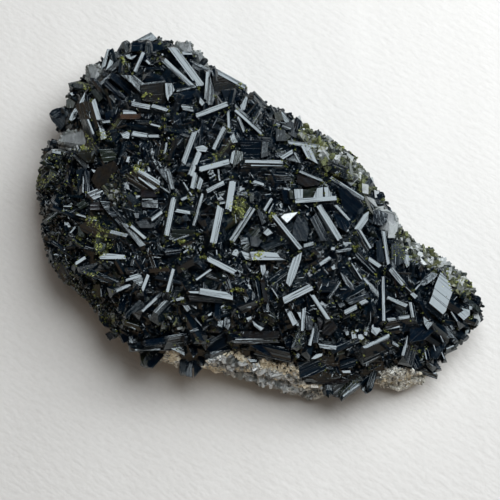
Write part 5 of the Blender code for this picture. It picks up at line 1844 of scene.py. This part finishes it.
@dataclass
class Understorey:
    """The tilted prisms under and between the laths: the solids' own ones, and many smaller."""

    relief: Relief
    studio: Studio
    clearance: Clearance
    narrowest_lath: float = 0.9
    solid_count: int = 74
    solid_length: tuple[float, float] = (6.0, 11.0)
    solid_across: tuple[float, float] = (1.8, 3.0)
    solid_pitch: tuple[float, float] = (8.0, 50.0)
    solid_margin: float = 2.0
    solid_root: float = 1.5
    solid_least: float = 2.5
    flatness: float = 0.76
    broad_count: int = 1000
    broad_length: tuple[float, float] = (4.0, 10.5)
    broad_width: tuple[float, float] = (0.6, 1.9)
    broad_pitch: tuple[float, float] = (-12.0, 40.0)
    small_count: int = 900
    small_length: tuple[float, float] = (2.5, 7.0)
    small_width: tuple[float, float] = (0.4, 1.3)
    small_pitch: tuple[float, float] = (-6.0, 58.0)
    ceiling: float = 32.2
    tries: int = 60
    margin: float = 0.8
    settlings: int = 9

    def build(self, bag: MeshBag) -> None:
        """Adds both kinds."""
        self.add_solid_ones(bag)
        crystals = Crystals(self.studio, bag, Random(SEED + 3))
        self.fill(crystals, self.broad_count, self.broad_length, self.broad_width, self.broad_pitch, True)
        self.fill(crystals, self.small_count, self.small_length, self.small_width, self.small_pitch, False)

    def add_solid_ones(self, bag: MeshBag) -> None:
        """Adds the prisms of the crust's solid, in the same places as there."""
        rng = Random(SEED)
        crystals = Crystals(self.studio, bag, Random(SEED + 2))
        lines = [(self.relief.behind(x1, y1, lift), self.relief.behind(x2, y2, lift), width)
                 for x1, y1, x2, y2, width, _, lift in LATHS if width >= self.narrowest_lath]
        rim = self.relief.rim
        made = 0
        for x, y in rim.scatter(rng, math.inf, self.solid_margin):
            length = rng.uniform(*self.solid_length)
            across = rng.uniform(*self.solid_across)
            pitch = math.radians(rng.uniform(*self.solid_pitch))
            axis = heading_axis(rng.uniform(0, math.tau), pitch)
            foot = Vector((x, y, self.relief.crust(x, y) - self.solid_root))
            tip = foot + axis * length
            if rim.depth(tip.x, tip.y) < 1.0:
                continue
            for _ in range(self.tries):
                shoulder = (foot + 2 * tip) / 3
                if not (self.near_lath(tip, across, lines) or self.near_lath(shoulder, across, lines)):
                    break
                tip = foot + (tip - foot) * 0.94
                tip.z -= 0.12
            edge, sight = self.clearance.edge, self.clearance.sight
            while edge.depth(*sight.pixel(tip)) < -1 and (tip - foot).length > 1.5:
                tip = foot + (tip - foot) * 0.92
            if (tip - foot).length > self.solid_least:
                # The solid draws two more numbers here
                rng.uniform(0, math.tau)
                rng.uniform(-0.7, 0.7)
                crystals.prism(foot, tip - axis * across * 0.35, across, across * self.flatness,
                               crystals.look(), 0.0)
            made += 1
            if made == self.solid_count:
                break

    @staticmethod
    def near_lath(point: Vector, across: float, lines: Sequence[tuple[Vector, Vector, float]]) -> bool:
        """Whether something at a point would hide one of the solid's laths."""
        for a, b, width in lines:
            edge = b - a
            t = min(max((point - a).dot(edge) / edge.length_squared, 0.0), 1.0)
            gap = point - a - edge * t
            if gap.to_2d().length < width / 2 + across and gap.z > -across:
                return True
        return False

    def fill(self, crystals: Crystals, count: int, lengths: tuple[float, float], widths: tuple[float, float],
             pitches: tuple[float, float], broad: bool) -> None:
        """Adds dark laths or small prisms wherever they hide nothing that the photograph shows.

        Args:
            crystals: what grows them.
            count: how many places are tried.
            lengths: their shortest and greatest length.
            widths: their least and greatest width.
            pitches: how far they point down at least, and up at most, in degrees.
            broad: whether they are laths, and not prisms.
        """
        rng = crystals.rng
        rim = self.relief.rim
        for x, y in rim.scatter(rng, count, self.margin):
            width = rng.uniform(*widths)
            pitch = math.radians(rng.uniform(*pitches))
            axis = heading_axis(rng.uniform(0, math.tau), pitch)
            foot = Vector((x, y, self.relief.crust(x, y) + rng.uniform(-1.0, 1.6)))
            tip = foot + axis * rng.uniform(*lengths)
            over = max(foot.z, tip.z) + 0.4 * width - self.ceiling
            if over > 0:
                foot.z -= over
                tip.z -= over
            under = rng.uniform(0.4, 2.4)
            for _ in range(self.settlings):
                if (rim.depth(tip.x, tip.y) > 0.2 and self.clearance.bares(tip, width)
                        and self.clearance.fits(foot, tip, width * (0.8 if broad else 0.5), under)):
                    self.one(crystals, foot, tip, width, broad)
                    break
                tip = foot + (tip - foot) * 0.88
                foot.z -= 0.2
                tip.z -= 0.4

    @staticmethod
    def one(crystals: Crystals, foot: Vector, tip: Vector, width: float, broad: bool) -> None:
        """Adds one dark lath or small prism.

        Args:
            crystals: what grows it.
            foot: its lower end.
            tip: its upper end.
            width: its width.
            broad: whether it is a lath, and not a prism.
        """
        rng = crystals.rng
        if not broad:
            crystals.prism(foot, tip, width, width * rng.uniform(0.4, 0.8), crystals.look(), 0.05)
            return
        axis = (tip - foot).normalized()
        ideal = crystals.studio.bright_normal(tip)
        level = square_to(ideal, axis)
        tilt = math.degrees(math.acos(min(1.0, level.dot(ideal))))
        least = 15.0 if tilt < 16 else 0.0
        turn = math.radians(rng.uniform(least, 50.0) * rng.choice((-1, 1)))
        turned = Matrix.Rotation(turn, 3, axis) @ level
        crystals.lath(foot, tip, turned, width, width * rng.uniform(0.8, 1.5), crystals.look(),
                      rng.choice((0, 0, 1)), 0.08)


@dataclass
class RimCrystals:
    """The prisms that stand out of the crust all round its rim."""

    relief: Relief
    studio: Studio
    clearance: Clearance
    step: float = 7.6
    levels: tuple[float, ...] = (0.36, 0.92)
    across: tuple[float, float] = (2.2, 3.8)
    reach: tuple[float, float] = (0.8, 2.4)
    root: float = 3.5
    flatness: float = 0.76
    dust: float = 0.3

    def build(self, bag: MeshBag) -> None:
        """Adds the listed prisms and the rows all round, in the same places as in the solid."""
        crystals = Crystals(self.studio, bag, Random(SEED + 4))
        for x1, y1, x2, y2, across, tip_z in RIM_PRISMS:
            foot = self.relief.sight.at_height(x1, y1, tip_z - 0.5)
            tip = self.relief.sight.at_height(x2, y2, tip_z)
            back = (tip - foot).normalized() * across * 0.3
            crystals.prism(foot, tip - back, across * 1.05, across * 0.8, crystals.look(self.dust), 0.3)
        rng = Random(SEED)
        for point, outward in self.relief.rim.walk(self.step):
            for level in self.levels:
                self.one(crystals, rng, point, outward, level)

    def one(self, crystals: Crystals, rng: Random, point: Vector, outward: Vector, level: float) -> None:
        """Adds one prism of the rows.

        Args:
            crystals: what grows it.
            rng: the solid's own source of its place and size.
            point: a point of the rim.
            outward: the outward direction there.
            level: how far up the crust's side it stands, from 0 to 1.
        """
        yaw = rng.uniform(-0.7, 0.7)
        pitch = rng.uniform(-0.25, 0.35) if level < 0.5 else rng.uniform(0.0, 0.7)
        flat = Vector((outward.x * math.cos(yaw) - outward.y * math.sin(yaw),
                       outward.x * math.sin(yaw) + outward.y * math.cos(yaw)))
        reach = rng.uniform(*self.reach)
        across = rng.uniform(*self.across)
        # The solid draws two more numbers here
        rng.uniform(0, math.tau)
        rng.uniform(-0.7, 0.7)
        ground = self.relief.crust(point.x, point.y)
        base_z = self.relief.bed_rim + (ground - self.relief.bed_rim) * level
        axis = Vector((flat.x * math.cos(pitch), flat.y * math.cos(pitch), math.sin(pitch)))
        edge = Vector((point.x, point.y, base_z))
        tip = edge + axis * (reach - 0.2 * across)
        look = crystals.look(self.dust)
        if self.clearance.bares(tip, -1.0, 9.0) and self.clearance.fits(edge, tip, across * 0.3):
            crystals.prism(edge - axis * self.root, tip, across, across * self.flatness, look, 0.2)


@dataclass
class Grains:
    """Fine grains that lie on whatever surface a pixel shows: druse, pale grains and lime dust."""

    relief: Relief
    studio: Studio
    clearance: Clearance
    tree: BVHTree
    columns: tuple[float, float] = (40, 480)
    rows: tuple[float, float] = (35, 380)
    lime_crowding: float = 3.6
    lime_spread: float = 0.62
    clusters: int = 1000
    sheaves: int = 950
    scatter: float = 1.6
    crystal_sizes: tuple[float, ...] = (0.7, 1.1, 1.5, 2.1)
    shard_sizes: tuple[float, ...] = (0.7, 1.4, 3.0)

    def hit(self, px: float, py: float) -> tuple[Vector, Vector] | None:
        """The surface behind a pixel: its point and normal, or None."""
        sight = self.relief.sight
        place, normal, _, _ = self.tree.ray_cast(sight.eye, sight.ray(px, py).normalized())
        return None if place is None else (place, normal)

    def lime(self, bag: MeshBag) -> None:
        """Adds the patches of pistachio-green dust, which have gaps."""
        rng = Random(SEED + 5)
        crystals = Crystals(self.studio, bag, rng)
        for px, py, wide, high, count in LIME_PATCHES:
            for _ in range(round(count * self.lime_crowding)):
                x, y = rng.gauss(px, wide * self.lime_spread), rng.gauss(py, high * self.lime_spread)
                if lime_here(x, y):
                    self.speck(crystals, x, y, rng.uniform(0.07, 0.2), rng.uniform(0.0, 1.0))

    def specks(self, bag: MeshBag) -> None:
        """Adds small clusters of dust all over, half of them at the ends of laths."""
        rng = Random(SEED + 6)
        crystals = Crystals(self.studio, bag, rng)
        ends = [end for row in LATHS for end in (row[0:2], row[2:4])]
        for _ in range(self.clusters):
            px, py = rng.uniform(*self.columns), rng.uniform(*self.rows)
            if rng.random() < 0.5:
                px, py = (rng.gauss(v, 1.8) for v in rng.choice(ends))
            found = self.hit(px, py)
            if (self.clearance.edge.depth(px, py) < 2 or found is None
                    or self.clearance.hidden_by(found[0], 0.1, 0.3)):
                continue
            size = rng.uniform(0.4, 1.2)
            for _ in range(rng.randint(2, 12)):
                self.speck(crystals, rng.gauss(px, size), rng.gauss(py, size), rng.uniform(0.07, 0.18),
                           rng.uniform(0.1, 0.8))

    def speck(self, crystals: Crystals, px: float, py: float, size: float, shade: float) -> None:
        """Adds one grain of dust behind a pixel.

        Args:
            crystals: what grows it.
            px: the pixel's column.
            py: the pixel's row.
            size: the grain's radius.
            shade: how pale it is.
        """
        found = self.hit(px, py)
        if found is not None:
            crystals.lump(found[0] + found[1] * size * 0.3, size, (shade, 0.0, 0.0, 1.0))

    def rock(self, bag: MeshBag, pale: MeshBag) -> None:
        """Adds angular grains where the rock is bare.

        Args:
            bag: where grains of rock go.
            pale: where grains of quartz go.
        """
        rng = Random(SEED + 9)
        stones = Crystals(self.studio, bag, rng)
        shards = replace(stones, bag=pale)
        for (count, *_), outline in zip(BARE_ROCK, self.clearance.bare):
            for px, py in outline.scatter(rng, count):
                found = self.hit(px, py)
                if found is None:
                    continue
                place, normal = found
                creamy = px < 200 or (py < 354 + (px - 215) * 0.28 and px < 320)
                cream = 0.9 * creamy + rng.uniform(0.0, 0.4)
                if cream > 0.8 or px > 370 or rng.random() < 0.4:
                    stones.lump(place, rng.uniform(0.2, 0.7), (min(cream, 1.0), 0, 0, 1))
                    continue
                size = min(rng.choice(self.shard_sizes) * rng.uniform(0.7, 1.2),
                           0.27 * (outline.depth(px, py) + 3))
                axis = (normal * 0.7 + wild(rng)).normalized()
                thickness = size * rng.uniform(0.25, 0.6)
                look = (rng.choice((0.05, 0.7, 0.9, 1.0, 1.0)), rng.uniform(0, 0.3), 0, 1)
                shards.prism(place - axis * size * 0.7, place + axis * size * 0.6, size, thickness, look, 1.0,
                             rng.choice((4, 5)))

    def chips(self, bag: MeshBag) -> None:
        """Adds sheaves of slivers where the crystals made so far look dark."""
        rng = Random(SEED + 13)
        crystals = Crystals(self.studio, bag, rng)
        for _ in range(self.sheaves):
            px, py = rng.uniform(*self.columns), rng.uniform(*self.rows)
            way = rng.uniform(0, math.tau)
            for _ in range(rng.choice((1, 1, 2, 3, 4))):
                x, y = rng.gauss(px, self.scatter), rng.gauss(py, self.scatter)
                found = self.hit(x, y)
                if found is None or self.clearance.edge.depth(x, y) < 1:
                    continue
                place, normal = found
                if (place.z > 9 and normal.dot(self.studio.bright_normal(place)) < 0.96
                        and not self.clearance.hidden_by(place, 0.1, 0.6)):
                    crystals.chip(place, rng.gauss(way, 0.2), rng.uniform(0.3, 1.3) ** 2 * 1.5,
                                  rng.uniform(0.05, 0.2))

    def druse(self, dark: MeshBag, pale: MeshBag, lime: MeshBag) -> None:
        """Adds the zones of druse.

        Args:
            dark: where dark grains go.
            pale: where pale, quartz-like grains go.
            lime: where dust goes.
        """
        rng = Random(SEED + 7)
        dust, pale_grains, dark_grains = (Crystals(self.studio, bag, rng) for bag in (lime, pale, dark))
        for count, share, *flat in DRUSE_ZONES:
            for px, py in Outline(pairs(flat)).scatter(rng, count):
                found = self.hit(px, py)
                if found is None:
                    continue
                place, normal = found
                axis = (normal + wild(rng) * 0.7).normalized()
                if place.z > self.relief.crust(place.x, place.y) + 2.2:
                    continue
                open_zone = 0.5 < share < 0.8
                size = min(rng.choice(self.crystal_sizes) * rng.uniform(0.7, 1.2),
                           0.27 * max(self.clearance.edge.depth(px, py) + 4, 2)) * (1.0 if open_zone else 0.6)
                look = (rng.choice((0.3, 0.5, 0.7, 0.85, 0.97) if open_zone else (0.12, 0.35, 0.6, 0.85)),
                        rng.uniform(0.1, 0.75), 0, 1)
                if rng.random() > share:
                    tip = place + axis * size * rng.uniform(0.5, 1.1)
                    dark_grains.prism(place - axis * size * 0.6, tip, size, size * 0.75,
                                      dust.olive_look() if open_zone else dust.look(0.5), 0.25)
                elif rng.random() < 0.65:
                    tip = place + axis * size * rng.uniform(0.6, 1.2)
                    pale_grains.prism(place - axis * size, tip, size, size * rng.uniform(0.4, 0.7), look, 1.0,
                                      rng.choice((4, 5)))
                else:
                    pale_grains.lump(place, size * 0.65, look)
                    below = Vector((rng.uniform(-0.7, 0.7), rng.uniform(-0.7, 0.7), -rng.uniform(0.8, 2.0)))
                    pale_grains.lump(place + below, size * 0.8, look)
                if rng.random() < 0.45:
                    for _ in range(3):
                        self.speck(dust, rng.gauss(px, self.scatter), rng.gauss(py, self.scatter),
                                   rng.uniform(0.1, 0.28), rng.uniform(0.0, 0.6))


class Specimen:
    """The whole specimen, put together in order."""

    def __init__(self) -> None:
        """Sets up the line of sight, the light, the relief and the finishes that everything shares."""
        sight = Sight()
        self.studio = Studio(sight)
        self.relief = Relief(sight)
        self.clearance = Clearance(sight)
        self.epidote = EpidoteFinish().build()
        self.quartz = QuartzFinish().build()
        self.dust = DustFinish().build()
        self.rock = RockFinish().build()

    def build(self) -> None:
        """Makes every piece."""
        parts = (self.relief, self.studio, self.clearance)
        made = Rock(self.relief).build(self.rock)
        laths = Laths(*parts)
        laths.guard()
        lath_bag, carpet_bag, prism_bag, rim_bag, rock_bag = (MeshBag() for _ in range(5))
        laths.build(lath_bag)
        crust = Crust(*parts)
        ground = crust.build_ground(self.epidote)
        crust.carpet(ground, carpet_bag)
        crust.coat(ground, carpet_bag, rock_bag)
        Understorey(*parts).build(prism_bag)
        RimCrystals(*parts).build(rim_bag)
        self.grains(ground, made.data, (lath_bag, carpet_bag, prism_bag, rim_bag), rock_bag)
        ground.free()
        lath_bag.piece("epidote_laths", self.epidote, Slot.EPIDOTE)
        for name, bag in (("carpet", carpet_bag), ("prisms", prism_bag), ("rim", rim_bag)):
            bag.dust(self.relief.sight)
            bag.piece("epidote_" + name, self.epidote, Slot.EPIDOTE)
        blocks = Crystals(self.studio, MeshBag(), Random(SEED + 8))
        for lift, shade, *flat in QUARTZ_BLOCKS:
            laths.broad_face(blocks, pairs(flat), blocks.rng.uniform(2, 13), lift, 0.0, shade)
        self.side_growth(replace(blocks, rng=Random(SEED + 14)))
        blocks.bag.piece("quartz_blocks", self.quartz, Slot.QUARTZ)
        for name, _ in QUARTZ:
            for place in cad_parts[name].material_slots:
                place.material = self.quartz

    @staticmethod
    def side_growth(crystals: Crystals) -> None:
        """Adds the small blocks grown on the sides of the big quartz crystals."""
        rng = crystals.rng
        for name, _ in QUARTZ:
            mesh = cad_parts[name].data
            for face in mesh.polygons:
                a, b, c = (mesh.vertices[i].co / MM for i in face.vertices[:3])
                for _ in range(int(face.area / MM ** 2 / 0.7 + rng.random()) if face.normal.z < 0.7 else 0):
                    place = a.lerp(b, rng.random()).lerp(c, rng.random())
                    axis = (face.normal + Vector((0, 0, 0.7)) + wild(rng) * 0.3).normalized()
                    size = rng.uniform(0.4, 1.5)
                    look = (rng.uniform(0.4, 0.85), rng.uniform(0.0, 0.4), 0, 1)
                    crystals.prism(place - axis * size, place + axis * size * 0.45, size, size * 0.8, look,
                                   1.0, rng.choice((4, 5, 6)))

    def grains(self, ground: bmesh.types.BMesh, rock_mesh: bpy.types.Mesh, bags: Sequence[MeshBag],
               rock: MeshBag) -> None:
        """Adds the grains on top of the crystals made so far.

        Args:
            ground: the crust's ground.
            rock_mesh: the rock, in metres.
            bags: the crystals.
            rock: where grains of rock go.
        """
        points = [v.co.copy() for v in ground.verts] + [v.co / MM for v in rock_mesh.vertices]
        faces = [tuple(v.index for v in f.verts) for f in ground.faces]
        faces += [tuple(len(ground.verts) + i for i in face.vertices) for face in rock_mesh.polygons]
        for bag in bags:
            base = len(points)
            points += bag.points
            faces += [tuple(base + i for i in face) for face in bag.faces]
        grains = Grains(self.relief, self.studio, self.clearance, BVHTree.FromPolygons(points, faces))
        dark, pale, lime = MeshBag(), MeshBag(), MeshBag()
        grains.rock(rock, pale)
        grains.druse(dark, pale, lime)
        grains.chips(dark)
        grains.lime(lime)
        grains.specks(lime)
        rock.piece("rock_grains", self.rock, Slot.ROCK)
        dark.piece("epidote_druse", self.epidote, Slot.EPIDOTE)
        pale.piece("quartz_grains", self.quartz, Slot.QUARTZ)
        lime.piece("pistachio_dust", self.dust, Slot.EPIDOTE)


@dataclass(frozen=True)
class Floor:
    """The paper that the specimen lies on."""

    half: float = 4.0

    def build(self) -> None:
        """Makes the floor, just under the specimen."""
        bm = bmesh.new()
        bmesh.ops.create_grid(bm, x_segments=8, y_segments=8, size=self.half)
        mesh = bpy.data.meshes.new("paper")
        bm.to_mesh(mesh)
        bm.free()
        mesh.materials.append(PaperFinish().build())
        floor = bpy.data.objects.new("paper", mesh)
        bpy.context.scene.collection.objects.link(floor)


def main() -> None:
    """Builds the specimen, its floor and its light."""
    logging.basicConfig(level=logging.INFO, format="%(name)s: %(message)s")
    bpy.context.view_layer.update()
    specimen = Specimen()
    specimen.build()
    Floor().build()
    specimen.studio.build()


if __name__ == "__main__":
    main()
